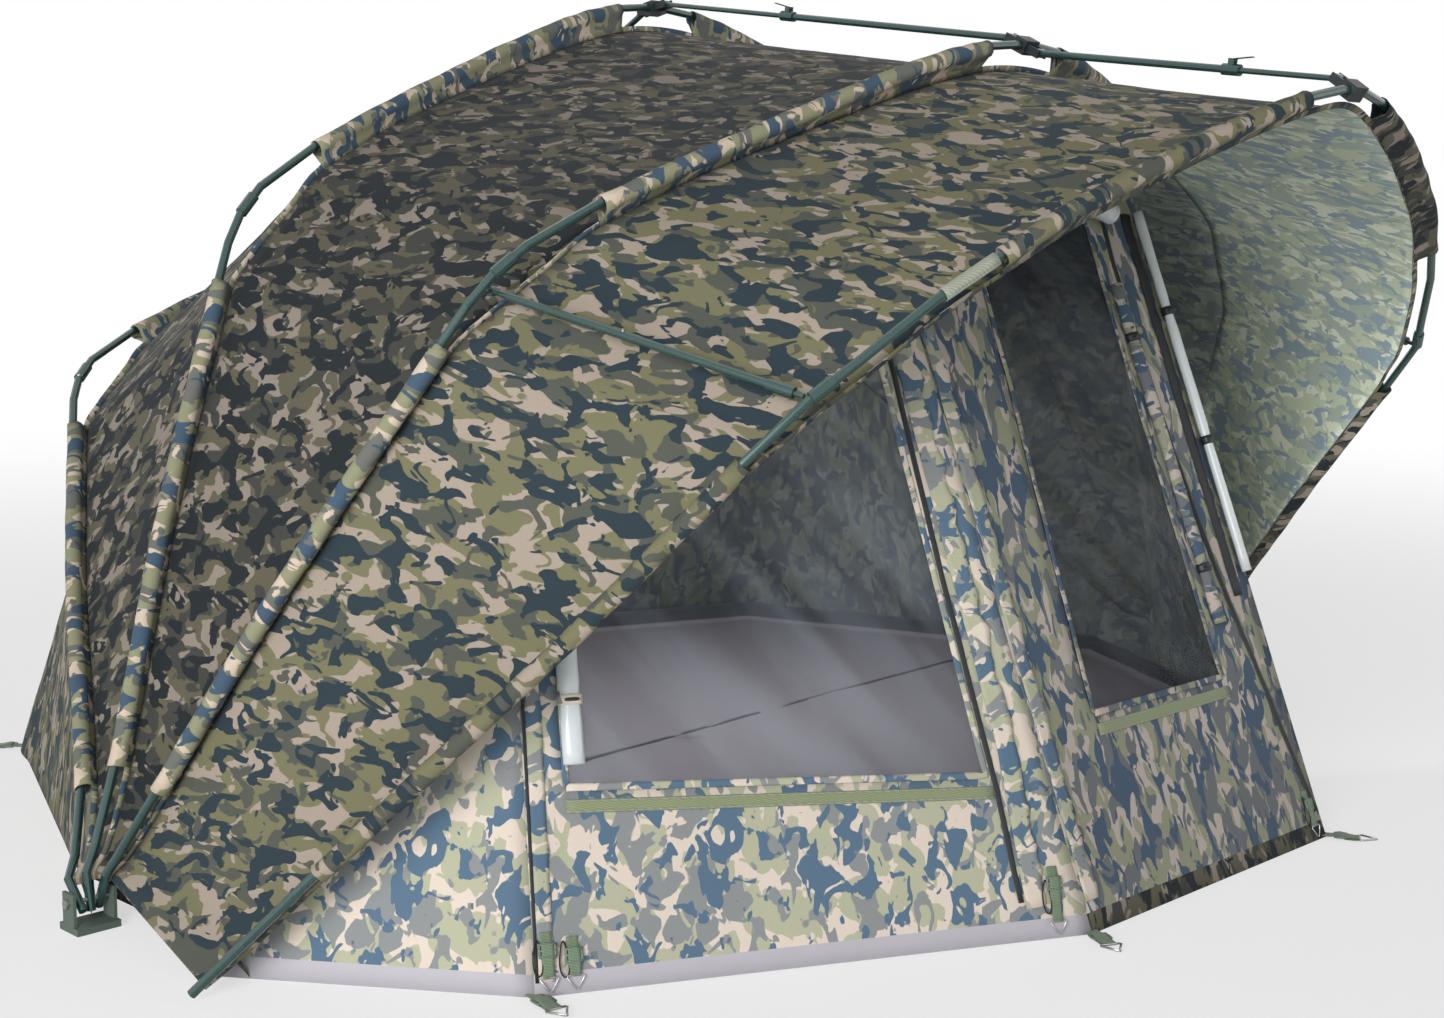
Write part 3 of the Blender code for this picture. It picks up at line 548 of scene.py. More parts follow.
def grained(name, colour, low, high, scale, strength, settings=None):
    """A finish whose roughness varies between two values over a fine grain, which also raises it
    slightly."""
    made, tree, shader = start_material(name, {"Base Color": colour, **(settings or {})})
    place = add_node(tree, "ShaderNodeTexCoord")
    grain = add_node(
        tree,
        "ShaderNodeTexNoise",
        {},
        {"Vector": place.outputs["Object"], "Scale": scale, "Detail": 4.0},
    )
    rough = add_node(
        tree,
        "ShaderNodeMapRange",
        {},
        {"Value": grain.outputs["Fac"], "To Min": low, "To Max": high},
    )
    bump = add_node(
        tree,
        "ShaderNodeBump",
        {},
        {"Height": grain.outputs["Fac"], "Strength": strength, "Distance": 0.002},
    )
    tree.links.new(rough.outputs["Result"], shader.inputs["Roughness"])
    tree.links.new(bump.outputs["Normal"], shader.inputs["Normal"])
    return made


# Blender's wave texture makes about this many bands in one unit at a scale of 1
WAVE_BANDS = 6.3


def woven_tape(name, colour, ribs_mm):
    """Woven polypropylene tape: fine cross ribs with a dull face, with painted light on the ribs and
    painted shade between them.
    """
    made, tree, shader = start_material(name, {"Roughness": 0.78, "Sheen Weight": 0.2})
    place = add_node(tree, "ShaderNodeTexCoord")
    ribs = add_node(
        tree,
        "ShaderNodeTexWave",
        {"bands_direction": "DIAGONAL"},
        {
            "Vector": place.outputs["Object"],
            "Scale": 1000.0 / (ribs_mm * WAVE_BANDS),
            "Distortion": 0.6,
            "Detail": 1.0,
        },
    )
    # painted shade in the grooves between the ribs, down to 0.72 of the tape's colour
    pale = add_node(
        tree,
        "ShaderNodeMix",
        {"data_type": "RGBA"},
        {"Factor": ribs.outputs["Fac"], MIX_A: shaded(colour, 0.72), MIX_B: colour},
    )
    bump = add_node(
        tree,
        "ShaderNodeBump",
        {},
        {"Height": ribs.outputs["Fac"], "Strength": 0.35, "Distance": 0.0008},
    )
    tree.links.new(pale.outputs[MIX_OUT], shader.inputs["Base Color"])
    tree.links.new(bump.outputs["Normal"], shader.inputs["Normal"])
    return made


def fine_mesh(name, colour, alpha):
    """Warp-knitted polyester insect mesh: the eye sees the inside of the tent darkened behind a grey
    veil, with painted light and shade in paler and darker bands where it hangs in slack folds."""
    made, tree, shader = start_material(name, {"Alpha": alpha, "Specular IOR Level": 0.15})
    place = add_node(tree, "ShaderNodeTexCoord")
    # painted light and shade of slack folds about 60 mm wide that run down across the window
    turned = add_node(
        tree,
        "ShaderNodeMapping",
        {"vector_type": "TEXTURE"},
        {
            "Vector": place.outputs["UV"],
            "Rotation": (0, 0, math.radians(-50)),
            "Scale": (0.62, 0.075, 1.0),
        },
    )
    folds = add_node(
        tree,
        "ShaderNodeTexNoise",
        {},
        {"Vector": turned.outputs["Vector"], "Scale": 1.0, "Detail": 3.0, "Distortion": 0.4},
    )
    share = add_node(
        tree,
        "ShaderNodeMapRange",
        {},
        {"Value": folds.outputs["Fac"], "From Min": 0.38, "From Max": 0.64},
    )
    tone = add_node(
        tree,
        "ShaderNodeMix",
        {"data_type": "RGBA"},
        {
            "Factor": share.outputs["Result"],
            MIX_A: shaded(colour, 0.45),
            MIX_B: shaded(colour, 1.75),
        },
    )
    tree.links.new(tone.outputs[MIX_OUT], shader.inputs["Base Color"])
    # holes of 0.8 mm are too fine to show, so a 4 mm mottle stands for them
    yarn = add_node(
        tree,
        "ShaderNodeTexNoise",
        {},
        {"Vector": place.outputs["Object"], "Scale": 250.0, "Detail": 2.0},
    )
    rough = add_node(
        tree,
        "ShaderNodeMapRange",
        {},
        {"Value": yarn.outputs["Fac"], "To Min": 0.7, "To Max": 0.95},
    )
    tree.links.new(rough.outputs["Result"], shader.inputs["Roughness"])
    made.surface_render_method = "DITHERED"
    return made


FINISHES = {}


def make_finishes():
    """Makes every finish of the tent once, by its short name."""
    sizes = bpy.context.scene.bivvy_sizes
    colours = bpy.context.scene.bivvy_colours
    mm = sizes.camo_mm
    along = (1.35, 0.78, 1.0)
    # the roof, hood and door prints are copies darkened with painted shade, and the front's is a
    # copy made paler with painted light
    FINISHES["roof"] = camo_cloth("printed_polyester_roof_painted_shade", "roof", along, mm * 1.1)
    FINISHES["hood"] = camo_cloth("printed_polyester_hood_painted_shade", "hood", along, mm * 1.1)
    FINISHES["sleeve"] = camo_cloth("printed_polyester_sleeve", "sleeve", along, mm)
    FINISHES["front"] = camo_cloth("printed_polyester_front_painted_light", "front", (1.20, 0.95, 1.0), mm)
    FINISHES["door"] = camo_cloth("printed_polyester_door_painted_shade", "door", (1.40, 0.72, 1.0), mm)
    # the coated back of the cloth, where the print shows through faintly; the inside is darkened a
    # little with painted shade, and the hood's wing inside is paler with painted daylight that comes
    # through it
    FINISHES["inside"] = camo_cloth("coated_polyester_inside", "inside", along, mm)
    FINISHES["wing_inside"] = camo_cloth("coated_polyester_hood_inside_painted_daylight", "wing_inside", along, mm)
    FINISHES["paint"] = painted_aluminium(colours)
    # injection-moulded nylon: nearly black with a soft sheen
    FINISHES["nylon"] = grained("moulded_nylon", linear("#20272a"), 0.38, 0.55, 240.0, 0.08)
    # die-cast zinc with a green-grey powder coat: dull and faintly pebbled
    FINISHES["casting"] = grained(
        "powder_coated_casting", linear("#56635a"), 0.5, 0.68, 300.0, 0.15
    )
    # injection-moulded buckles in grey-green nylon with a soft sheen
    FINISHES["buckle"] = grained("moulded_green_nylon", linear("#64786a"), 0.35, 0.5, 240.0, 0.08)
    # zinc-plated steel: bright grey with fine rolling marks
    FINISHES["zinc"] = grained(
        "zinc_plated_steel", linear("#b9bab8"), 0.22, 0.4, 180.0, 0.05, {"Metallic": 1.0}
    )
    FINISHES["webbing"] = woven_tape("woven_webbing", tuple(colours.webbing), 1.6)
    FINISHES["binding"] = woven_tape("woven_binding", linear("#8d9873"), 1.4)
    FINISHES["pale"] = woven_tape("woven_strap", linear("#9fa493"), 1.6)
    # polyester zip tape, dark grey-brown with a dull weave
    FINISHES["zip_tape"] = woven_tape("woven_zip_tape", linear("#3a3c3c"), 1.4)
    FINISHES["zip"] = grained("nylon_coil_zip", linear("#1d2023"), 0.5, 0.75, 500.0, 0.5)
    # PVC-coated groundsheet: dull grey with slow creases
    FINISHES["groundsheet"] = grained(
        "coated_groundsheet", tuple(colours.groundsheet), 0.6, 0.8, 9.0, 0.5
    )
    FINISHES["groundsheet_rim"] = grained(
        "coated_groundsheet_rim", linear("#3c3f45"), 0.5, 0.75, 26.0, 0.4
    )
    # grey coated mud flap at the foot of the walls
    FINISHES["skirt"] = grained("coated_mud_flap", linear("#b4b0b8"), 0.5, 0.8, 40.0, 0.4)
    FINISHES["mesh"] = fine_mesh("knitted_mesh", tuple(colours.mesh), 0.42)
    # the door's mesh is a shaded copy of the window mesh, its yarn darkened to 0.42: painted shade
    # on the tent's inside behind it
    FINISHES["door_mesh"] = fine_mesh("knitted_door_mesh_painted_shade", shaded(colours.mesh, 0.42), 0.55)
    # clear soft vinyl, rolled into many layers, so that it looks milky white
    FINISHES["vinyl"] = grained(
        "soft_vinyl",
        linear("#dfe6e8"),
        0.12,
        0.3,
        30.0,
        0.25,
        {"Transmission Weight": 0.15, "IOR": 1.5},
    )
    FINISHES["elastic"] = grained("braided_elastic", linear("#15171a"), 0.6, 0.85, 600.0, 0.6)


# How the names of the frame's own parts start, and their finish; the first that fits counts
NODE_FINISH = (
    ("pivot_block", "casting"),
    ("pivot_bolt", "zinc"),
    ("bracket", "nylon"),
    ("push_button", "zinc"),
    ("rib_", "paint"),
    ("rear_bar", "paint"),
    ("mid_bar", "paint"),
    ("front_bar", "paint"),
    ("side_bar", "paint"),
    ("mid_clamp", "nylon"),
    ("front_clamp", "nylon"),
)


def in_plane(rib, x, s):
    """The point of a rib's plane at this x and this distance up along it."""
    origin, way, _ = RIBS[rib]
    return Vector((x, origin[0] + s * way[0], origin[1] + s * way[1]))


def foot_shift(rib, side, s):
    """How far the front rib's right foot, and the leg above it, stand away from the mirrored
    place."""
    if rib != "d" or side < 0 or s >= LEG_TOP_S:
        return Vector((0, 0, 0))
    share = (LEG_TOP_S - s) / LEG_TOP_S
    return Vector((RIGHT_FOOT_SHIFT[0] * share, RIGHT_FOOT_SHIFT[1] * share, 0))


def keyed_point(rib, side, key, seam):
    """A rib's key on the left (-1) or right (1), on its tube or on the seam beside it."""
    row = (KEYS_D if rib == "d" else KEYS_ABC)[key]
    x, s = row[2:] if seam else row[:2]
    fade = 1 - min(max(s, 0) / FOOT_FADE_S, 1)
    step = RIBS[rib][2] * FOOT_STEP * (fade if seam or key > 1 else 1)
    return in_plane(rib, side * (x + step), s) + foot_shift(rib, side, s)


def across(rib):
    """The unit direction across a rib's plane, towards the front."""
    way = RIBS[rib][1]
    return Vector((0, -way[1], way[0]))


def smooth(points, steps):
    """A curve through all the points, with this many steps between each two."""
    found = []
    last = len(points) - 1
    for i in range(last):
        a = points[max(i - 1, 0)]
        b = points[i]
        c = points[i + 1]
        d = points[min(i + 2, last)]
        for k in range(steps):
            t = k / steps
            found.append(
                0.5
                * (
                    (2 * b)
                    + (c - a) * t
                    + (2 * a - 5 * b + 4 * c - d) * t * t
                    + (3 * b - a - 3 * c + d) * t * t * t
                )
            )
    found.append(points[-1])
    return found


def seam_line(rib, steps=SEAM_STEPS):
    """The canopy's seam along a rib, from the left foot over the top to the right foot."""
    points = [foot_point(rib, -1)]
    points += [keyed_point(rib, -1, k, True) for k in range(1, 20)]
    points += [keyed_point(rib, 1, k, True) for k in range(19, 0, -1)]
    points.append(foot_point(rib, 1))
    return smooth(points, steps)


def foot_point(rib, side):
    """The lowest point of the seam, just inside the rib's foot."""
    x, s = FOOT_SEAM["d" if rib == "d" else "abc"]
    fade = 1 - s / FOOT_FADE_S
    return in_plane(rib, side * (x + RIBS[rib][2] * FOOT_STEP * fade), s) + foot_shift(rib, side, s)


def new_piece(name, bm, finishes, body=None, node=None):
    """A smooth piece from a bmesh, with its finishes and the body it rides on; it hides the frame's
    solid that it stands for."""
    for face in bm.faces:
        face.smooth = True
    mesh = bpy.data.meshes.new(name)
    bm.to_mesh(mesh)
    bm.free()
    piece = bpy.data.objects.new(name, mesh)
    bpy.context.scene.collection.objects.link(piece)
    for finish in finishes:
        mesh.materials.append(FINISHES[finish])
    if body:
        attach(piece, body)
    if node:
        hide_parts(node)
    return piece


def normals_of(grid, closed=False):
    """The sheet's normal at each of its points, turned away from the tent's middle."""
    rows = len(grid)
    cols = len(grid[0])
    found = []
    for i in range(rows):
        line = []
        for j in range(cols):
            right = grid[i][(j + 1) % cols] if closed else grid[i][min(j + 1, cols - 1)]
            left = grid[i][j - 1] if closed else grid[i][max(j - 1, 0)]
            a = grid[min(i + 1, rows - 1)][j] - grid[max(i - 1, 0)][j]
            normal = a.cross(right - left)
            line.append(normal.normalized() if normal.length > 1e-12 else Vector((0, 0, 1)))
        found.append(line)
    total = 0.0
    for row, normals in zip(grid, found):
        for point, normal in zip(row, normals):
            total += normal.dot(point - MIDDLE)
    if total < 0 and not closed:
        found = [[-n for n in line] for line in found]
    return found


def add_shell(bm, grid, thickness, outer=0, inner=1, closed=False, skip=None, places=None):
    """Adds a sheet of real thickness on rows of points, with its UVs in metres. Its outer and inner
    sides take the finishes with these indexes, or those that a function of row and column gives."""
    layer = bm.loops.layers.uv.verify()
    rows = len(grid)
    cols = len(grid[0])
    normals = normals_of(grid, closed)
    if places is None:
        middle = cols // 2
        along = [0.0]
        for low, high in zip(grid, grid[1:]):
            along.append(along[-1] + (high[middle] - low[middle]).length)
        places = []
        for row, u in zip(grid, along):
            line = [0.0]
            for left, right in zip(row, row[1:]):
                line.append(line[-1] + (right - left).length)
            places.append([(u, v - line[middle]) for v in line])
    test = (grid[1][0] - grid[0][0]).cross(grid[0][1] - grid[0][0])
    turned = -1 if test.dot(normals[0][0]) < 0 else 1
    sides = []
    for off in (thickness / 2, -thickness / 2):
        sides.append(
            [
                [bm.verts.new(p + n * off) for p, n in zip(row, line)]
                for row, line in zip(grid, normals)
            ]
        )
    last = cols if closed else cols - 1
    used = set()
    for way, made in ((1, sides[0]), (-1, sides[1])):
        for i in range(rows - 1):
            for j in range(last):
                if skip and skip(i, j):
                    continue
                n = (j + 1) % cols
                order = [(i, j), (i + 1, j), (i + 1, n), (i, n)]
                if way * turned < 0:
                    order.reverse()
                face = bm.faces.new([made[r][c] for r, c in order])
                for loop, (r, c) in zip(face.loops, order):
                    loop[layer].uv = places[r][c]
                index = outer if way > 0 else inner
                face.material_index = index(i, j) if callable(index) else index
                used.add((i, j))
    # an edge that only one cell has is a border of the sheet, and is closed with a narrow face
    edges = {}
    for i, j in used:
        n = (j + 1) % cols
        for pair in (
            ((i, j), (i + 1, j)), ((i + 1, j), (i + 1, n)), ((i + 1, n), (i, n)), ((i, n), (i, j))
        ):
            key = frozenset(pair)
            edges[key] = None if key in edges else (pair, (i, j))
    for found in edges.values():
        if not found:
            continue
        (first, second), cell = found
        corners = [
            sides[0][first[0]][first[1]],
            sides[0][second[0]][second[1]],
            sides[1][second[0]][second[1]],
            sides[1][first[0]][first[1]],
        ]
        if turned > 0:
            corners.reverse()
        face = bm.faces.new(corners)
        face.material_index = outer(*cell) if callable(outer) else outer
        for loop in face.loops:
            loop[layer].uv = places[first[0]][first[1]]
    bmesh.ops.delete(bm, geom=[v for v in bm.verts if not v.link_faces], context="VERTS")


def shell(grid, thickness, **options):
    """A new bmesh that holds one sheet of real thickness."""
    bm = bmesh.new()
    add_shell(bm, grid, thickness, **options)
    return bm


def sheet_area(grid):
    """The area of a sheet given as rows of points."""
    total = 0.0
    for low, high in zip(grid, grid[1:]):
        for a, b, c, d in zip(low, low[1:], high[1:], high):
            total += ((b - a).cross(c - a)).length / 2 + ((c - a).cross(d - a)).length / 2
    return total


def length_along(grid, column):
    """The length of a sheet along one of its columns."""
    return sum((high[column] - low[column]).length for low, high in zip(grid, grid[1:]))


def neighbours(line, k):
    """The entries before and after one in a line, or the entry itself at an end."""
    return line[max(k - 1, 0)], line[min(k + 1, len(line) - 1)]


# A flat size is at least this many times the sheet's area
LEAST_SHARE = 1.002


def declare(grid):
    """Works out the flat size that a sheet's own cut gives; the size is not kept."""
    area = sheet_area(grid)
    middle = len(grid[0]) // 2
    long = length_along(grid, middle)
    wide = max(sum((row[j + 1] - row[j]).length for j in range(len(row) - 1)) for row in grid)
    while wide * long < area * LEAST_SHARE:
        wide *= 1.01


def crease(point, seed, size, stretch=(1, 1, 1)):
    """Slow cloth unevenness between -1 and 1."""
    place = Vector((point.x * stretch[0], point.y * stretch[1], point.z * stretch[2])) / size
    return noise.noise(place + Vector((seed, seed * 0.7, -seed)))


def ruffled(grid, amount, seed):
    """Moves a sheet's inner points a little along its normal: broad sag and small tension wrinkles
    from its edges."""
    rows = len(grid)
    cols = len(grid[0])
    made = []
    for i in range(rows):
        line = []
        for j in range(cols):
            a = grid[min(i + 1, rows - 1)][j] - grid[max(i - 1, 0)][j]
            b = grid[i][min(j + 1, cols - 1)] - grid[i][max(j - 1, 0)]
            normal = a.cross(b)
            normal = normal.normalized() if normal.length > 1e-12 else Vector((0, 0, 1))
            if normal.dot(grid[i][j] - Vector((0, 0, 0.4))) < 0:
                normal = -normal
            v = j / (cols - 1)
            u = i / (rows - 1)
            # nothing moves on the seams, and little near the feet
            free = min(1.0, 4 * v * (1 - v) * 1.6)
            end = min(1.0, 8 * u * (1 - u) + 0.1)
            p = grid[i][j]
            # waves 420, 130 and 55 mm long; the middle ones grow where a seam pulls the cloth
            slow = crease(p, seed, 0.42)
            near = crease(p, seed + 3, 0.13)
            fine = crease(p, seed + 5, 0.055)
            pull = math.exp(-(1 - abs(2 * v - 1)) / 0.22)
            lift = amount * (1.3 * slow + 0.7 * near * (0.4 + pull) + 0.28 * fine) * free * end
            line.append(p + normal * lift)
        made.append(line)
    return made


def blend_span(back, front):
    """The points on two ribs that mark where cloth between them starts and ends turning; they turn
    no cloth.
    """
    return in_plane(back, 0, BLEND_S), in_plane(front, 0, BLEND_S)


def fold_span(back, front):
    """The points that mark where a canopy panel starts and ends turning; the hood's lie at the front
    rib's own hinge. They turn no cloth."""
    if back != "c":
        return blend_span(back, front)
    start = in_plane("c", 0, HOOD_HINGE_S)
    return start, start + across("c") * HOOD_TURN_LONG


def canopy_grid(back, front, sag):
    """Cloth stretched between two ribs' seams, hollowed a little between them."""
    start_line = seam_line(back)
    end_line = seam_line(front)
    grid = []
    for i, (start, end) in enumerate(zip(start_line, end_line)):
        start = start + across(back) * SEAM_GAP
        end = end - across(front) * SEAM_GAP
        u = i / (len(start_line) - 1)
        over = math.sin(math.pi * u)
        inward = Vector((0, 0, 0.35)) - (start + end) / 2
        inward.y = 0
        inward.normalize()
        row = []
        for j in range(PANEL_COLUMNS):
            v = j / (PANEL_COLUMNS - 1)
            row.append(start.lerp(end, v) + inward * (sag * 4 * v * (1 - v) * over))
        grid.append(row)
    return grid


LAMPS = (
    # name, place, aim, width and height, power in watts
    ("key", (-7.2, -3.4, 2.4), (0, 0, 0.5), (3.5, 3.5), 430.0),
    ("fill", (4.0, -6.5, 2.6), (0, 0, 0.5), (4.0, 4.0), 40.0),
    ("back", (3.5, 7.0, 3.0), (0, 0, 0.6), (4.0, 4.0), 60.0),
    # daylight that comes through the roof onto the groundsheet, and through the hood's right wing
    ("through_roof", (0, 0.25, 1.0), (0, 0.25, 0), (1.6, 0.7), 30.0),
    ("through_wing", (0.80, -1.20, 0.50), (1.20, -0.52, 0.78), (0.7, 0.7), 1.5),
)
# Half of the floor's side
FLOOR_HALF = 60
# Strength of the light that comes from round about and from overhead, where 1 is white
ROOM_LEVEL = 0.72
OVERHEAD_LEVEL = 0.05
# The floor's own light grows from this strength at this distance in metres to full white at the
# other
FLOOR_GLOW = 0.62
FLOOR_GLOW_FROM = 2.0
FLOOR_GLOW_TO = 7.5


def place_camera(scene):
    """The photograph's camera, from its heading, tilt and roll."""
    heading = math.radians(CAMERA_HEADING)
    down = math.radians(CAMERA_DOWN)
    roll = math.radians(CAMERA_ROLL)
    forward = Vector(
        (-math.sin(heading) * math.cos(down), math.cos(heading) * math.cos(down), -math.sin(down))
    )
    right = forward.cross(Vector((0, 0, 1))).normalized()
    up = right.cross(forward)
    turned = right * math.cos(roll) + up * math.sin(roll)
    upright = up * math.cos(roll) - right * math.sin(roll)
    camera = bpy.data.objects.new("camera", bpy.data.cameras.new("camera"))
    camera.data.sensor_fit = "HORIZONTAL"
    camera.data.sensor_width = SENSOR_MM
    camera.data.lens = CAMERA_FOCAL_PX / PHOTO_WIDTH_PX * SENSOR_MM
    camera.data.clip_end = 200
    turn = Matrix((turned, upright, -forward)).transposed().to_4x4()
    camera.matrix_world = Matrix.Translation(CAMERA_AT) @ turn
    scene.collection.objects.link(camera)
    scene.camera = camera


def paper_floor():
    """Matt white background paper: it keeps the object's shadow, and fades to plain white far from
    the object."""
    made, tree, shader = start_material(
        "paper_floor", {"Base Color": linear("#f4f4f4"), "Roughness": 0.9}
    )
    output = tree.nodes["Material Output"]
    path = add_node(tree, "ShaderNodeLightPath")
    glow = add_node(tree, "ShaderNodeEmission", {}, {"Color": (1, 1, 1, 1), "Strength": 1.0})
    place = add_node(tree, "ShaderNodeTexCoord")
    away = add_node(
        tree, "ShaderNodeVectorMath", {"operation": "LENGTH"}, {0: place.outputs["Object"]}
    )
    reach = {
        "From Min": FLOOR_GLOW_FROM, "From Max": FLOOR_GLOW_TO, "To Min": FLOOR_GLOW, "To Max": 1.0
    }
    fade = add_node(
        tree,
        "ShaderNodeMapRange",
        {"interpolation_type": "SMOOTHSTEP"},
        {"Value": away.outputs["Value"], **reach},
    )
    share = add_node(
        tree,
        "ShaderNodeMath",
        {"operation": "MULTIPLY"},
        {0: path.outputs["Is Camera Ray"], 1: fade.outputs["Result"]},
    )
    both = add_node(
        tree,
        "ShaderNodeMixShader",
        {},
        {0: share.outputs[0], 1: shader.outputs[0], 2: glow.outputs[0]},
    )
    tree.links.new(both.outputs[0], output.inputs["Surface"])
    return made


def light_world(scene):
    """A pale room that is seen as plain white, directly, in gloss and through clear pieces."""
    world = bpy.data.worlds.new("studio")
    world.use_nodes = True
    scene.world = world
    tree = world.node_tree
    background = tree.nodes["Background"]
    path = add_node(tree, "ShaderNodeLightPath")
    seen = add_node(
        tree,
        "ShaderNodeMath",
        {"operation": "MAXIMUM"},
        {0: path.outputs["Is Camera Ray"], 1: path.outputs["Is Glossy Ray"]},
    )
    clear = add_node(
        tree,
        "ShaderNodeMath",
        {"operation": "MAXIMUM"},
        {0: seen.outputs[0], 1: path.outputs["Is Transmission Ray"]},
    )
    way = add_node(tree, "ShaderNodeTexCoord")
    parts = add_node(tree, "ShaderNodeSeparateXYZ", {}, {"Vector": way.outputs["Generated"]})
    sky = add_node(
        tree,
        "ShaderNodeMapRange",
        {},
        {"Value": parts.outputs["Z"], "To Min": ROOM_LEVEL, "To Max": OVERHEAD_LEVEL},
    )
    level = add_node(
        tree,
        "ShaderNodeMapRange",
        {},
        {"Value": clear.outputs[0], "To Min": sky.outputs["Result"], "To Max": 1.0},
    )
    background.inputs["Color"].default_value = (1, 1, 1, 1)
    tree.links.new(level.outputs["Result"], background.inputs["Strength"])


class BIVVY_OT_stage(bpy.types.Operator):
    """Make the pale floor, the soft lamps, the world and the photograph's camera"""

    bl_idname = "bivvy.stage"
    bl_label = "Stage and camera"

    def execute(self, context):
        scene = context.scene
        scene.view_settings.view_transform = "Standard"
        place_camera(scene)
        bm = bmesh.new()
        bmesh.ops.create_grid(bm, x_segments=4, y_segments=4, size=FLOOR_HALF)
        mesh = bpy.data.meshes.new("floor")
        bm.to_mesh(mesh)
        bm.free()
        mesh.materials.append(paper_floor())
        floor = bpy.data.objects.new("floor", mesh)
        floor.location.z = FLOOR_Z
        scene.collection.objects.link(floor)
        light_world(scene)
        for name, place, aim, size, power in LAMPS:
            lamp = bpy.data.objects.new(name, bpy.data.lights.new(name, "AREA"))
            lamp.data.shape = "RECTANGLE"
            lamp.data.size, lamp.data.size_y = size
            lamp.data.energy = power
            lamp.location = place
            lamp.visible_camera = False
            lamp.rotation_mode = "QUATERNION"
            lamp.rotation_quaternion = (Vector(aim) - Vector(place)).to_track_quat("-Z", "Y")
            scene.collection.objects.link(lamp)
        return {"FINISHED"}


class BIVVY_OT_finishes(bpy.types.Operator):
    """Make the finishes and put them on the frame's own parts"""

    bl_idname = "bivvy.finishes"
    bl_label = "Finishes"

    def execute(self, context):
        make_finishes()
        for name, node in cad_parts.items():
            for start, finish in NODE_FINISH:
                if name.startswith(start) and "sleeves" not in name:
                    for slot in node.material_slots:
                        slot.link = "OBJECT"
                        slot.material = FINISHES[finish]
                    break
        return {"FINISHED"}


class BIVVY_OT_canopy(bpy.types.Operator):
    """Make the rear wall, the two roof panels, the front hood and the cloth at the pivots"""

    bl_idname = "bivvy.canopy"
    bl_label = "Canopy"

    def execute(self, context):
        sizes = context.scene.bivvy_sizes
        panels = (
            # name, solid, back rib, front rib, finish, resting body, moving body, sag, seed
            (
                "rear_roof_cloth",
                "canopy_rear_roof",
                "a",
                "b",
                "roof",
                "base",
                "rear_rib",
                ROOF_SAG,
                11,
            ),
            (
                "middle_roof_cloth",
                "canopy_middle_roof",
                "b",
                "c",
                "roof",
                "base",
                "middle_rib",
                ROOF_SAG,
                23,
            ),
            (
                "front_hood_cloth",
                "canopy_front_hood",
                "c",
                "d",
                "hood",
                "middle_rib",
                "front_frame",
                HOOD_SAG,
                37,
            ),
        )
        for name, node, back, front, finish, rest, moving, sag, seed in panels:
            grid = ruffled(canopy_grid(back, front, sag), sizes.wrinkle, seed)
            # the hood's lining is the pale copy with painted daylight through the cloth; the others
            # take the inside's, with a little painted shade
            lining = "wing_inside" if finish == "hood" else "inside"
            piece = new_piece(name, shell(grid, sizes.cloth), (finish, lining), None, node)
            start, end = fold_span(back, front)
            if moving == "rear_rib":
                start, end = end, start
            tuple(start)
            tuple(end)
            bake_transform(piece)
            declare(grid)
        hood = canopy_grid("c", "d", HOOD_SAG)
        start, end = fold_span("c", "d")
        for name, row, side in (
            ("left_foot_gusset", hood[GUSSET_ROW], -1),
            ("right_foot_gusset", hood[-1 - GUSSET_ROW], 1),
        ):
            grid = gusset_grid(row, side)
            # the gussets take the roof's darkened print: painted shade under the hood's edge
            piece = new_piece(
                name, shell(grid, sizes.cloth), ("roof", "inside"), None, None
            )
            tuple(start)
            tuple(end)
            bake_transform(piece)
            declare(grid)
        grid = []
        for top, foot in zip(seam_line("a"), rear_hem_line()):
            top = top - across("a") * SEAM_GAP
            grid.append([top.lerp(foot, j / REAR_WALL_ROWS) for j in range(REAR_WALL_ROWS + 1)])
        grid = ruffled(grid, sizes.wrinkle, 51)
        bm = shell(grid, sizes.cloth)
        # the rear wall takes the hood's print, a copy darkened with painted shade
        piece = new_piece(
            "rear_wall_cloth", bm, ("hood", "inside"), None, "canopy_rear"
        )
        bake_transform(piece)
        declare(grid)
        return {"FINISHED"}


def gusset_grid(row, side):
    """The loose cloth under the hood's edge, from the rear wall's foot past the pivot to the front
    rib's foot."""
    row = [Vector((side * GUSSET_X, y, GUSSET_Z)) for y in GUSSET_REAR_Y] + row[:GUSSET_END]
    grid = []
    for k in range(GUSSET_STEPS + 1):
        share = k / GUSSET_STEPS
        line = []
        for p in row:
            top = p - Vector((side * 0.006, 0, 0))
            low = Vector((top.x * 0.978, top.y, HEM_Z))
            point = top.lerp(low, share)
            slack = 0.004 * crease(point, 61.0, 0.09) * math.sin(math.pi * share)
            line.append(point + Vector((side * slack, 0, 0)))
        grid.append(line)
    return grid


def rear_hem_line():
    """The rear wall's hem on the ground, one point for each point of the rear rib's seam."""
    half = [Vector((*REAR_FOOT[0], HEM_Z)), Vector((*REAR_FOOT[1], HEM_Z))]
    for key in range(2, 20):
        for low, high in zip(REAR_LINE, REAR_LINE[1:]):
            if low[0] <= key <= high[0]:
                share = (key - low[0]) / (high[0] - low[0])
                half.append(
                    Vector(
                        (
                            low[1] + (high[1] - low[1]) * share,
                            low[2] + (high[2] - low[2]) * share,
                            HEM_Z,
                        )
                    )
                )
                break
    left = [Vector((-p.x, p.y, p.z)) for p in half]
    return smooth(left + half[::-1], SEAM_STEPS)


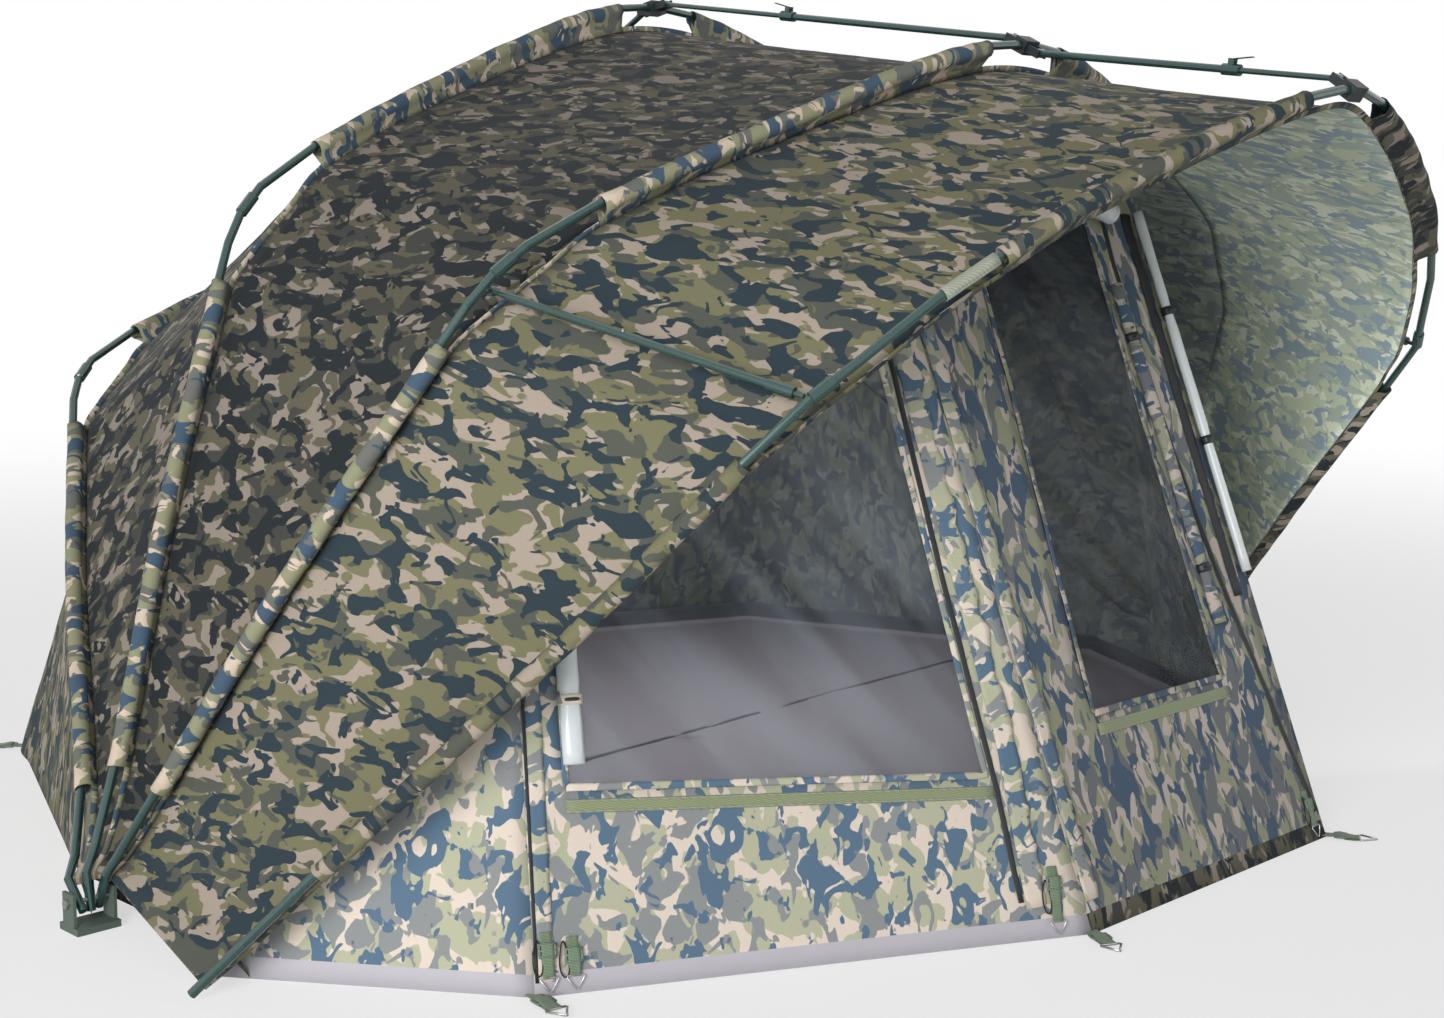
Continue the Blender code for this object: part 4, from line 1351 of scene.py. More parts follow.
class BIVVY_OT_sleeves(bpy.types.Operator):
    """Make the cloth sleeves round the ribs and the strip that joins them to the canopy"""

    bl_idname = "bivvy.sleeves"
    bl_label = "Sleeves"

    def execute(self, context):
        sizes = context.scene.bivvy_sizes
        bodies = {"a": "rear_rib", "b": "base", "c": "middle_rib", "d": "front_frame"}
        for rib, body in bodies.items():
            bm = bmesh.new()
            area = 0.0
            long = 0.0
            upper = FRONT_UPPER_SLEEVE if rib == "d" else UPPER_SLEEVE
            for side in (-1, 1):
                for first, last in (LOWER_SLEEVE, upper):
                    grid = sleeve_grid(rib, side, first, last, sizes.sleeve)
                    # the front rib's sleeves take the hood's print on the left and the roof's darker
                    # print on the right, painted shade on its side away from the light; the other
                    # ribs have the sleeve print on both sides
                    index = 1 if side > 0 else 0
                    add_shell(bm, grid, sizes.cloth * 0.8, outer=index, inner=index)
                    area += sheet_area(grid)
                    long += length_along(grid, SLEEVE_BACK)
            strip = strip_grid(rib)
            add_shell(bm, strip, STRIP_T, outer=0, inner=0)
            area += sheet_area(strip)
            long += length_along(strip, 0)
            piece = new_piece(
                "rib_%s_cloth_sleeves" % rib,
                bm,
                ("hood", "roof") if rib == "d" else ("sleeve", "sleeve"),
                body,
                "rib_%s_sleeves" % rib,
            )
        return {"FINISHED"}


def pair_at(rib, side, key):
    """The tube's centre and the seam beside it at a key that may lie between two."""
    low = int(math.floor(key))
    share = key - low
    tube = keyed_point(rib, side, low, False)
    seam = keyed_point(rib, side, low, True)
    if share > 1e-6:
        tube = tube.lerp(keyed_point(rib, side, low + 1, False), share)
        seam = seam.lerp(keyed_point(rib, side, low + 1, True), share)
    return tube, seam


def sleeve_grid(rib, side, first, last, radius):
    """A sleeve's cloth from its seam, round the tube and back to the seam, at steps along the
    rib."""
    normal = across(rib)
    grid = []
    steps = (last - first) * SLEEVE_STEPS
    for k in range(steps + 1):
        key = first + (last - first) * k / steps
        tube, seam = pair_at(rib, side, key)
        way = (seam - tube).normalized()
        reach = (seam - tube).length - STRIP_T
        hem = 0.0009 if k in (0, steps) else 0.0
        neck = radius + (reach - radius) * 0.62
        centre = tube + way * SLEEVE_SHIFT
        sewn = ((reach, 0.0016), (neck, 0.0021))
        row = [tube + way * out + normal * off for out, off in sewn]
        for degrees in range(40, 321, 28):
            turn = math.radians(degrees)
            slack = 0.0011 * noise.noise(Vector((key * 2.3, degrees / 50.0, ord(rib) + side)))
            soft = 0.0006 * math.sin(key * 9.0 + degrees / 30.0)
            r = radius + slack + soft + hem
            row.append(centre + way * (r * math.cos(turn)) + normal * (r * math.sin(turn)))
        row += [tube + way * out - normal * off for out, off in reversed(sewn)]
        grid.append(row)
    return grid


def strip_grid(rib):
    """The folded strip along the canopy's seam, from one foot over the top to the other."""
    seam = seam_line(rib, 4)
    normal = across(rib)
    grid = []
    for k, point in enumerate(seam):
        before, after = neighbours(seam, k)
        way = (after - before).normalized().cross(normal)
        if way.dot(point - MIDDLE) < 0:
            way = -way
        grid.append([point - way * 0.0008, point + way * 0.006, point + way * 0.0115])
    return grid


def walls():
    """Each front wall: its ground corner at the origin, the other one, a point on its upper edge
    and that edge's line."""
    in_left = Vector((-TOP_IN.x, TOP_IN.y, TOP_IN.z))
    in_right = TOP_IN.copy()
    left_out = on_plane(P1, P2, in_left, -TOP_OUT_X, TOP_OUT_Z)
    left_mid = on_plane(P1, P2, in_left, -TOP_MID_X, TOP_MID_Z)
    right_out = on_plane(P3, P4, in_right, TOP_OUT_X, TOP_OUT_Z)
    right_mid = on_plane(P3, P4, in_right, TOP_MID_X, TOP_MID_Z)
    ridge = on_plane(P2, P3, in_right, 0, TOP_RIDGE_Z)
    return {
        "left": (P1, P2, in_left, (left_out, left_mid, in_left)),
        "door": ((P2 + P3) / 2, P3, ridge, (in_left, ridge, in_right)),
        "right": (P3, P4, right_mid, (in_right, right_mid, right_out)),
        "left_side": (FOOT_LEFT, P1, left_out, (left_out, left_out.lerp(P1, 0.004))),
        "right_side": (P4, FOOT_RIGHT, right_out, (right_out.lerp(P4, 0.004), right_out)),
    }


def on_plane(a, b, c, x, z):
    """The point with this x and z in the plane through three points."""
    n = (b - a).cross(c - a)
    point = Vector((x, 0, z))
    point.y = a.y - (n.x * (point.x - a.x) + n.z * (point.z - a.z)) / n.y
    return point


def between(p, q, share):
    """The flat point this share of the way from one to another."""
    return (p[0] + (q[0] - p[0]) * share, p[1] + (q[1] - p[1]) * share)


class Wall:
    """One flat piece of the front wall, with its own flat coordinates and its sag and folds."""

    def __init__(self, name, seed):
        origin, corner, top, line = walls()[name]
        self.origin = origin
        self.way = (corner - origin).normalized()
        lift = top - origin
        self.lift = (lift - self.way * lift.dot(self.way)) / lift.z
        self.normal = self.way.cross(self.lift).normalized()
        if self.normal.dot(origin - MIDDLE) < 0:
            self.normal = -self.normal
        self.top = [self.flat(p) for p in line]
        start = P2 if name == "door" else origin
        self.low = (self.flat(start), self.flat(corner))
        self.seed = seed
        self.corners = [self.low[0], self.low[1]] + self.top[::-1]

    def flat(self, point):
        """A point's place on the wall, in metres along the ground and up."""
        away = point - self.origin
        return (away.dot(self.way), away.z)

    def edge_distance(self, a, h):
        """How far a place on the wall is from its nearest edge."""
        nearest = math.inf
        for (x1, y1), (x2, y2) in zip(self.corners, self.corners[1:] + self.corners[:1]):
            dx, dy = x2 - x1, y2 - y1
            size = dx * dx + dy * dy
            share = 0.0 if size < 1e-12 else min(max(((a - x1) * dx + (h - y1) * dy) / size, 0), 1)
            nearest = min(nearest, math.hypot(a - x1 - dx * share, h - y1 - dy * share))
        return nearest

    def place(self, a, h, off=0.0):
        """A point on the hung cloth, or this far outside it."""
        base = self.origin + self.way * a + self.lift * h
        # the cloth is held at its edges and moves freely 70 mm in from them
        free = min(self.edge_distance(a, h) / 0.07, 1.0)
        free = free * free * (3 - 2 * free)
        # slow sag, folds that run down the wall and fine creases, then pulls that fan out from each
        # corner
        rise = 0.0045 * crease(base, self.seed, 0.35) + 0.0026 * crease(
            base, self.seed + 2, 0.11, (1.5, 1.5, 0.6)
        )
        rise += 0.0012 * crease(base, self.seed + 4, 0.045)
        for x, y in self.corners:
            away = math.hypot(a - x, h - y)
            angle = math.atan2(h - y, a - x)
            rise += 0.0034 * math.sin(angle * 11 + self.seed) * math.exp(-away / 0.16) * min(
                away / 0.05, 1
            )
        return base + self.normal * (rise * free + off)

    def edge(self, side, h):
        """The wall's left or right edge at a height."""
        low = self.low[side]
        top = self.top[-1 if side else 0]
        share = 0.0 if top[1] == low[1] else (h - low[1]) / (top[1] - low[1])
        return low[0] + (top[0] - low[0]) * share

    def top_at(self, share):
        """The place this share of the way along the wall's upper edge."""
        lengths = [math.dist(p, q) for p, q in zip(self.top, self.top[1:])]
        left = share * sum(lengths)
        for (p, q), size in zip(zip(self.top, self.top[1:]), lengths):
            if left <= size + 1e-9:
                return between(p, q, left / size)
            left -= size
        return self.top[-1]

    def flats(self, window, columns, rows, shares):
        """Rows of flat coordinates: hem, mud flap's top, window's foot, window's head and the
        wall's top."""
        lines = []
        if window:
            foot_left, foot_right, head_right, head_left = window
            for left, right in (
                ((foot_left[0], 0), (foot_right[0], 0)),
                ((foot_left[0], SKIRT_H), (foot_right[0], SKIRT_H)),
                (foot_left, foot_right),
                (head_left, head_right),
            ):
                start = (self.edge(0, left[1]), left[1])
                end = (self.edge(1, right[1]), right[1])
                lines.append([start, left, right, end])
        else:
            for h in PLAIN_BANDS:
                h = min(h, self.top[0][1] * 0.93, self.top[-1][1] * 0.93)
                left = self.edge(0, h)
                wide = self.edge(1, h) - left
                lines.append(
                    [(left + wide * share, h) for share in (0, 0.33, 0.67)] + [(self.edge(1, h), h)]
                )
        every = range(sum(columns) + 1)
        bands = [[spread(line, columns, c) for c in every] for line in lines]
        places = [(share, 0) for share in shares]
        bands.append([self.top_at(spread(places, columns, c)[0]) for c in every])
        found = []
        for low, high, count in zip(bands, bands[1:], rows):
            for k in range(count):
                found.append([between(p, q, k / count) for p, q in zip(low, high)])
        found.append(bands[-1])
        return found


def spread(line, columns, c):
    """The point at column c of a line whose given points stand at the band edges."""
    for k, count in enumerate(columns):
        if c <= count:
            return between(line[k], line[k + 1], c / count)
        c -= count
    return line[-1]


FRONT_WALLS = (
    # name, wall, node, window, columns, rows, places of the inner columns along the top, seed
    (
        "left_window_wall",
        "left",
        "front_window_left",
        LEFT_WINDOW,
        (3, 18, 5),
        (1, 7, 16, 7),
        (0, 0.10, 0.88, 1),
        LEFT_SEED,
    ),
    (
        "door_wall",
        "door",
        "front_door",
        DOOR_WINDOW,
        (5, 12, 5),
        (1, 8, 18, 7),
        (0, 0.28, 0.77, 1),
        DOOR_SEED,
    ),
    (
        "right_window_wall",
        "right",
        "front_window_right",
        None,
        (8, 8, 8),
        (1, 8, 12, 8),
        (0, 0.33, 0.67, 1),
        13.0,
    ),
    (
        "left_side_wall",
        "left_side",
        "front_side_left",
        None,
        (4, 4, 4),
        (1, 8, 12, 5),
        (0, 0.33, 0.67, 1),
        17.0,
    ),
    (
        "right_side_wall",
        "right_side",
        "front_side_right",
        None,
        (4, 4, 4),
        (1, 8, 12, 5),
        (0, 0.33, 0.67, 1),
        21.0,
    ),
)


class BIVVY_OT_front_wall(bpy.types.Operator):
    """Make the five pieces of the front wall with their mud flaps and window meshes"""

    bl_idname = "bivvy.front_wall"
    bl_label = "Front wall"

    def execute(self, context):
        sizes = context.scene.bivvy_sizes
        for name, which, node, window, columns, rows, shares, seed in FRONT_WALLS:
            wall = Wall(which, seed)
            flats = wall.flats(window, columns, rows, shares)
            grid = [[wall.place(a, h) for a, h in row] for row in flats]
            first_row = rows[0] + rows[1]
            last_row = first_row + rows[2]
            first_col = columns[0]
            last_col = columns[0] + columns[1]

            def in_window(i, j):
                inside = first_row <= i < last_row and first_col <= j < last_col
                return window is not None and inside

            def finish(i, j):
                return 2 if i < rows[0] else 0

            def lining(i, j):
                return 2 if i < rows[0] else 1

            bm = shell(grid, sizes.cloth, outer=finish, inner=lining, skip=in_window, places=flats)
            # the door and right walls take the door's darker print, a copy with painted shade, and
            # the door wall's foot band takes the roof's, also darkened with painted shade
            foot = "roof" if which == "door" else "skirt"
            face = "door" if which in ("door", "right") else "front"
            piece = new_piece(name, bm, (face, "inside", foot), None, node)
            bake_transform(piece)
            area = sheet_area(grid)
            if window:
                area -= sheet_area(
                    [row[first_col : last_col + 1] for row in grid[first_row : last_row + 1]]
                )
            tall = max(p[1] for p in wall.corners) * wall.lift.length
            wide = max(p[0] for p in wall.corners) - min(p[0] for p in wall.corners)
            if window:
                net = [row[first_col : last_col + 1] for row in flats[first_row : last_row + 1]]
                points = [[wall.place(a, h, -0.0002) for a, h in row] for row in net]
                bm = shell(points, MESH_T, outer=0, inner=0, places=net)
                net_finish = "mesh" if which == "left" else "door_mesh"
                solid = "window_mesh_" + which
                made = new_piece("mesh_of_" + name, bm, (net_finish,), None, solid)
                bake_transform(made)
                declare(points)
        return {"FINISHED"}


def resampled(line, step):
    """A flat line with points no further apart than a step."""
    found = [line[0]]
    for p, q in zip(line, line[1:]):
        count = max(1, int(math.ceil(math.dist(p, q) / step)))
        found += [between(p, q, k / count) for k in range(1, count + 1)]
    return found


def tape_grid(wall, line, width, off, wave=0.0, seed=0.0):
    """A tape's surface along a flat line on a wall, crowned along its middle, with one edge waved
    where it is loose."""
    line = resampled(line, 0.02)
    grid = []
    for k, (a, h) in enumerate(line):
        before, after = neighbours(line, k)
        dx, dy = after[0] - before[0], after[1] - before[1]
        size = math.hypot(dx, dy)
        side = (dy / size, -dx / size)
        shift = wave * noise.noise(Vector((k * 0.55, seed, 0)))
        row = []
        for c in range(5):
            t = c / 2 - 1
            reach = t * (width / 2 + (shift if t > 0 else 0))
            lift = off + TAPE_CROWN * (1 - t * t) + abs(shift) * 0.6 * max(t, 0)
            row.append(wall.place(a + side[0] * reach, h + side[1] * reach, lift))
        grid.append(row)
    return grid


def tape(name, wall, line, width, off, finish, wave=0.0, thickness=TAPE_T):
    """A sewn tape along a flat line on a wall."""
    grid = tape_grid(wall, line, width, off, wave=wave, seed=len(name))
    made = new_piece(name, shell(grid, thickness, outer=0, inner=0), (finish,))
    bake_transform(made)


def around(window, reach):
    """The flat outline of a window, drawn out by this reach, closed."""
    cx = sum(p[0] for p in window) / len(window)
    cy = sum(p[1] for p in window) / len(window)
    out = [(x + math.copysign(reach, x - cx), y + math.copysign(reach, y - cy)) for x, y in window]
    return [*out, out[0]]


class BIVVY_OT_tapes(bpy.types.Operator):
    """Make the bindings round the windows, the zips, the corner bands and the two storm flaps"""

    bl_idname = "bivvy.tapes"
    bl_label = "Bindings and zips"

    def execute(self, context):
        sizes = context.scene.bivvy_sizes
        left = Wall("left", LEFT_SEED)
        door = Wall("door", DOOR_SEED)
        binding = sizes.binding
        band = sizes.zip_band
        # the bindings take their wall's print: the door's is a copy darkened with painted shade, the
        # left's a copy made paler with painted light
        for name, wall, window, finish in (
            ("left", left, LEFT_WINDOW, "front"), ("door", door, DOOR_WINDOW, "door")
        ):
            tape(
                name + "_window_binding", wall, around(window, 0.002), binding * 0.8, 0.0022, finish
            )
            (x1, y1), (x2, y2) = window[:2]
            foot = [(x1 - 0.005, y1 - 0.030), (x2 + 0.012, y2 - 0.030)]
            tape(name + "_window_foot_band", wall, foot, binding * 1.45, 0.0024, "binding")
            for place, lift in (("low", -0.0078), ("high", 0.0078)):
                line = [(a, h + lift) for a, h in foot]
                tape("%s_window_foot_seam_%s" % (name, place), wall, line, 0.0016, 0.0036, "pale")
        for name, wall, line, wide in (
            ("left_window_zip", left, LEFT_ZIP, band),
            ("door_zip_right", door, DOOR_ZIP, band * 1.5),
        ):
            tape(name + "_tape", wall, line, wide, 0.0018, "zip_tape")
            tape(name, wall, line, band * 0.6, 0.0030, "zip", thickness=0.0016)
        tape("door_corner_band", door, CORNER_BAND, 0.030, 0.0020, "zip", wave=0.004)
        corner = [(left.edge(0, h) + 0.020, h) for h in (0.02, 0.3, 0.65, 1.0)]
        tape("left_corner_placket", left, corner, 0.026, 0.0020, "front", wave=0.004)
        line = [(a - 0.016, h) for a, h in corner]
        tape("left_corner_zip", left, line, band * 0.5, 0.0030, "zip")
        door_flap = [(door.edge(0, h) + 0.022, h) for h in (0.05, 0.6, 1.15)]
        for name, wall, line, under in (
            ("left_storm_flap", left, LEFT_FLAP, "left_window_wall"),
            ("door_storm_flap", door, door_flap, "door_wall"),
        ):
            grid = tape_grid(wall, line, 0.036, 0.0038, wave=0.014, seed=len(name))
            made = new_piece(name, shell(grid, TAPE_T, outer=0, inner=0), ("front",))
            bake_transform(made)
            declare(grid)
        return {"FINISHED"}


# A rolled cover's rows along it, its columns round it, and how often it is rolled
ROLL_ROWS = 30
ROLL_COLUMNS = 45
ROLL_TURNS = 2.6


def roll_axes(way, outward, wide):
    """The two directions across a roll, the one along its wall stretched by this share."""
    side = way.cross(outward).normalized()
    return side * wide, outward


def rolled_grid(start, end, outward, radius, wide, ties, seed):
    """A sheet rolled up on itself and drawn in at its ties, its outer edge lying free along the
    roll."""
    side, front = roll_axes((end - start).normalized(), outward, wide)
    grid = []
    for k in range(ROLL_ROWS + 1):
        t = k / ROLL_ROWS
        centre = start.lerp(end, t)
        squeeze = 1 - 0.20 * sum(math.exp(-(((t - tie) / 0.03) ** 2)) for tie in ties)
        squeeze *= 1 - 0.12 * noise.noise(Vector((t * 3.1, seed, 2.0)))
        row = []
        for n in range(ROLL_COLUMNS + 1):
            share = n / ROLL_COLUMNS
            turn = share * ROLL_TURNS * math.tau + 0.12 * noise.noise(Vector((t * 5, seed, 0)))
            r = radius * (0.32 + 0.62 * share) * squeeze
            r += radius * 0.09 * noise.noise(Vector((t * 9, share * 4, seed))) * share
            row.append(centre + side * (r * math.cos(turn)) + front * (r * math.sin(turn)))
        grid.append(row)
    return grid


def ring_grid(centre, way, outward, radius, wide, band, turns=1.03):
    """A short strap wrapped round a roll, its end lying over its start."""
    side, front = roll_axes(way, outward, wide)
    grid = []
    for k in range(4):
        off = (k / 3 - 0.5) * band
        row = []
        for n in range(33):
            share = n / 32
            turn = share * turns * math.tau - 1.9
            r = radius + 0.0012 * share
            row.append(
                centre + way * off + side * (r * math.cos(turn)) + front * (r * math.sin(turn))
            )
        grid.append(row)
    return grid


ROLLS = (
    # name, wall, solid, ends, radius, width over depth, finish, finish of its ties, places of the
    # ties, seed
    (
        "left_rolled_cover",
        "left",
        "window_cover_left",
        LEFT_COVER,
        0.0135,
        1.55,
        "vinyl",
        "front",
        (0.16, 0.84),
        3.0,
    ),
    # the door's rolled cover takes the door's print, a copy darkened with painted shade
    (
        "door_rolled_cover",
        "door",
        "window_cover_door",
        DOOR_COVER,
        0.0125,
        1.35,
        "door",
        "nylon",
        (0.16, 0.84),
        8.0,
    ),
    (
        "corner_rolled_cover",
        "door",
        None,
        CORNER_COVER,
        0.0118,
        1.0,
        "vinyl",
        "nylon",
        (0.36, 0.72),
        15.0,
    ),
    ("door_cover_end", "door", None, COVER_END, 0.0260, 1.0, "vinyl", None, (), 19.0),
)


class BIVVY_OT_covers(bpy.types.Operator):
    """Make the rolled window covers with their ties and toggles"""

    bl_idname = "bivvy.covers"
    bl_label = "Rolled window covers"

    def execute(self, context):
        for name, which, node, ends, radius, wide, finish, tie_finish, ties, seed in ROLLS:
            wall = Wall(which, seed)
            lift = radius + 0.0023
            start, end = (
                wall.origin + wall.way * a + wall.lift * h + wall.normal * lift for a, h in ends
            )
            grid = rolled_grid(start, end, wall.normal, radius, wide, ties, seed)
            piece = new_piece(
                name, shell(grid, ROLL_T, outer=0, inner=0), (finish,), None, node
            )
            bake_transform(piece)
            declare(grid)
            if not ties:
                continue
            bm = bmesh.new()
            way = (end - start).normalized()
            for share in ties:
                ring = ring_grid(
                    start.lerp(end, share), way, wall.normal, radius * 0.90, wide, 0.017
                )
                add_shell(bm, ring, 0.0012, outer=0, inner=0)
            made = new_piece(name + "_ties", bm, (tie_finish,))
            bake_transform(made)
            bm = bmesh.new()
            for share in ties:
                at = start.lerp(end, share) + wall.normal * (radius * 0.92)
                line = [at + wall.way * k for k in (-0.012, -0.006, 0.006, 0.012)]
                add_wire(bm, line, (0.0020, 0.0032, 0.0032, 0.0020), 10)
            toggles = new_piece(name + "_toggles", bm, ("nylon",))
            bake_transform(toggles)
        return {"FINISHED"}


def add_wire(bm, path, radius, sides=8, closed=False, index=0):
    """Adds a round bar along points, with flat ends or joined into a ring; its radius may change
    along it."""
    count = len(path)
    radii = radius if isinstance(radius, (tuple, list)) else [radius] * count
    rings = []
    layer = bm.loops.layers.uv.verify()
    side = None
    for k, point in enumerate(path):
        before = path[k - 1] if closed or k else path[0]
        after = path[(k + 1) % count] if closed or k < count - 1 else path[-1]
        way = (after - before).normalized()
        if side is None:
            side = way.orthogonal() if abs(way.z) > 0.9 else way.cross(Vector((0, 0, 1)))
            side.normalize()
        side = (side - way * side.dot(way)).normalized()
        up = side.cross(way)
        ring = []
        for n in range(sides):
            turn = math.tau * n / sides
            ring.append(
                bm.verts.new(
                    point + side * (radii[k] * math.cos(turn)) + up * (radii[k] * math.sin(turn))
                )
            )
        rings.append(ring)
    last = count if closed else count - 1
    for k in range(last):
        low, high = rings[k], rings[(k + 1) % count]
        for n in range(sides):
            m = (n + 1) % sides
            face = bm.faces.new((low[n], high[n], high[m], low[m]))
            face.material_index = index
            for loop in face.loops:
                loop[layer].uv = (loop.vert.co.x, loop.vert.co.z)
    if not closed:
        bm.faces.new(rings[0]).material_index = index
        bm.faces.new(rings[-1][::-1]).material_index = index


SHEET_CENTRE = Vector((0, 0.20, 0))
# Height of the groundsheet's cloth, its rows as shares of the way out to its outline, and its rim's
# rows with heights
SHEET_LIFT = 0.0022
SHEET_SHARES = (0.0004, 0.04, 0.12, 0.24, 0.36, 0.48, 0.60, 0.70, 0.79, 0.87, 0.93, 0.965, 0.988)
SHEET_RIM = (
    (0.9905, 0.012),
    (0.9915, 0.030),
    (0.9915, 0.048),
    (0.9925, 0.0535),
    (0.9945, 0.0535),
    (0.9955, 0.047),
)
# The inner mud flap stays this far inside the pivots
FLAP_X = 1.48


def ground_crease(point):
    """The height of the groundsheet's slow waves and small creases at a point."""
    return 0.0035 * max(0.0, crease(point, 5.0, 0.30)) + 0.0030 * max(0.0, crease(point, 9.0, 0.09))


def stepped(corners, least):
    """A closed line through corners with points about 60 mm apart, and at least this many on each
    side."""
    found = []
    for start, end in zip(corners, corners[1:] + corners[:1]):
        count = max(least, int((end - start).length / 0.06))
        found += [start.lerp(end, k / count) for k in range(count)]
    return found


class BIVVY_OT_groundsheet(bpy.types.Operator):
    """Make the groundsheet tray with its raised rim, hem and fold lines"""

    bl_idname = "bivvy.groundsheet"
    bl_label = "Groundsheet"

    def execute(self, context):
        outline = stepped([Vector((x, y, 0)) for x, y in SHEET_LINE], 2)
        grid = []
        for share in SHEET_SHARES:
            row = []
            for p in outline:
                point = SHEET_CENTRE.lerp(p, share)
                # the lines of its packed folds stand up a little
                line = min(abs(point.x - 0.42), abs(point.x + 0.42), abs(point.y - 0.25))
                fold = ground_crease(point) + 0.0028 * math.exp(-((line / 0.012) ** 2))
                row.append(point + Vector((0, 0, SHEET_LIFT + fold * min(1.0, (1 - share) * 12))))
            grid.append(row)
        rim = len(grid)
        for share, height in SHEET_RIM:
            row = []
            for p in outline:
                sag = 0.0035 * (1 + noise.noise(p * 5)) * height / 0.05
                row.append(SHEET_CENTRE.lerp(p, share) + Vector((0, 0, height - sag)))
            grid.append(row)

        def finish(i, j):
            return 1 if i >= rim else 0

        bm = shell(grid, 0.0010, outer=finish, inner=finish, closed=True)
        finishes = ("groundsheet", "groundsheet_rim")
        piece = new_piece(
            "groundsheet_tray", bm, finishes, "base", "groundsheet"
        )
        hem = [p for p in rear_hem_line() if abs(p.x) < FLAP_X + 0.01]
        hem += [
            Vector((FLAP_X, 0, 0)),
            FOOT_RIGHT * 0.97,
            P4,
            P3,
            P2,
            P1,
            FOOT_LEFT * 0.95,
            Vector((-FLAP_X, 0, 0)),
        ]
        line = stepped([Vector((p.x, p.y, 0)) for p in hem], 1)
        flap = []
        for reach in (0.012, 0.10, 0.20, 0.30):
            row = []
            for p in line:
                inward = (SHEET_CENTRE - p).normalized()
                lift = 0.0006 + 0.0004 * max(0.0, crease(p, 31.0, 0.2))
                row.append(p + inward * reach + Vector((0, 0, lift)))
            flap.append(row)
        bm = shell(flap, 0.0004, outer=0, inner=0, closed=True)
        made = new_piece("inner_mud_flap", bm, ("groundsheet_rim",), "base")
        declare([[*row, row[0]] for row in flap])
        tape_rows = []
        for k in range(41):
            point = GROUND_SEAM[0].lerp(GROUND_SEAM[1], k / 40)
            lift = SHEET_LIFT + ground_crease(point) + 0.0016
            tape_rows.append([point + Vector((0, side, lift)) for side in (-0.007, 0.007)])
        bm = shell(tape_rows, 0.0006, outer=0, inner=0)
        new_piece("groundsheet_seam_tape", bm, ("groundsheet_rim",), "base")
        area = sheet_area([[*row, row[0]] for row in grid])
        return {"FINISHED"}


# Peg strap from its corner outwards, as distance and height: the layers of webbing, and half of its
# ring's outline
STRAP_LAYERS = (
    (
        (0.002, 0.0012),
        (0.020, 0.0008),
        (0.030, 0.0030),
        (0.037, 0.0038),
        (0.044, 0.0030),
        (0.056, 0.0004),
    ),
    ((0.030, 0.0046), (0.037, 0.0054), (0.044, 0.0044), (0.056, 0.0018), (0.068, 0.0010)),
    (
        (0.044, -0.0026),
        (0.058, -0.0028),
        (0.068, -0.0028),
        (0.0725, -0.0012),
        (0.0735, 0.0006),
        (0.071, 0.0014),
        (0.060, 0.0008),
    ),
)
STRAP_RING = ((0.0175, 0.0735), (0.0190, 0.0765), (0.0085, 0.0925), (0.0012, 0.1060))
# Height of a peg strap over the ground, and where its buckle's middle lies
STRAP_Z = 0.0045
BUCKLE_AT = 0.0375
# Corner tab's ring, and the heights of its buckle's bars above the hem
TAB_RING = ((0.0130, 0.0260), (0.0142, 0.0235), (0.0075, 0.0135), (0.0012, 0.0060))
TAB_BARS = (0.026, 0.035, 0.044)
TAB_HALF = 0.0095
# Points round the tab's elastic loop
LOOP_STEPS = 20


def add_webbing(bm, layers, half, put):
    """Adds layers of webbing, each a line of distance and height, put in place by a function."""
    for line in layers:
        points = smooth([Vector((0, along, off)) for along, off in line], 3)
        grid = [[put(half * t, p.y, p.z) for t in (-1, -0.5, 0, 0.5, 1)] for p in points]
        add_shell(bm, grid, WEB_T, outer=0, inner=0)


def ring_line(half, first):
    """A ring's outline from half of it, starting on the left with the point at its flat side's
    middle."""
    (wide, along), *rest = half
    right = [(wide, along), *rest]
    return [(-wide, along), (0.0, first), *right] + [(-x, y) for x, y in rest[::-1]]


class BIVVY_OT_straps(bpy.types.Operator):
    """Make the six peg straps with their buckles and rings, and the storage strap on the front
    rib"""

    bl_idname = "bivvy.straps"
    bl_label = "Peg straps"

    def execute(self, context):
        half = context.scene.bivvy_sizes.webbing / 2 - 0.0006
        for name, corner, heading in PEG_STRAPS:
            turn = Matrix.Rotation(math.radians(heading), 4, "Z")
            place = Matrix.Translation((*corner, STRAP_Z)) @ turn

            def put(across_it, along, off):
                return place @ Vector((along, across_it, off))

            bm = bmesh.new()
            add_webbing(bm, STRAP_LAYERS, half, put)
            for x in (-0.0105, 0.0, 0.0105):
                line = [
                    put(y, BUCKLE_AT + x, 0.0016) for y in (-0.0165, -0.008, 0.0, 0.008, 0.0165)
                ]
                add_wire(bm, line, 0.0021, index=1)
            for y in (-0.0152, 0.0152):
                line = [
                    put(y, BUCKLE_AT + x, 0.0014) for x in (-0.0125, -0.006, 0.0, 0.006, 0.0125)
                ]
                add_wire(bm, line, (0.0018, 0.0024, 0.0024, 0.0024, 0.0018), index=1)
            ring = [put(y, x, 0.0006) for y, x in ring_line(STRAP_RING, 0.0735)]
            add_wire(bm, ring, 0.0019, closed=True, index=2)
            new_piece(
                name + "_webbing", bm, ("webbing", "buckle", "zinc"), "base", name
            )
        start, end = (keyed_point("d", -1, key, False) for key in STRAP_KEYS)
        way = (end - start).normalized()
        outward = way.cross(Vector((0, 1, 0))).normalized().cross(way)
        bm = bmesh.new()
        grid = []
        for k in range(8):
            off = CUFF_INSET + ((end - start).length - 2 * CUFF_INSET) * k / 7
            grid.append(ring_grid(start + way * off, way, outward, CUFF_R, 1.0, 0.0, 1.0)[0])
        add_shell(bm, grid, STRIP_T, outer=0, inner=0)
        made = new_piece(
            "storage_strap_webbing", bm, ("pale",), "front_frame", "storage_strap"
        )
        declare(grid)
        return {"FINISHED"}


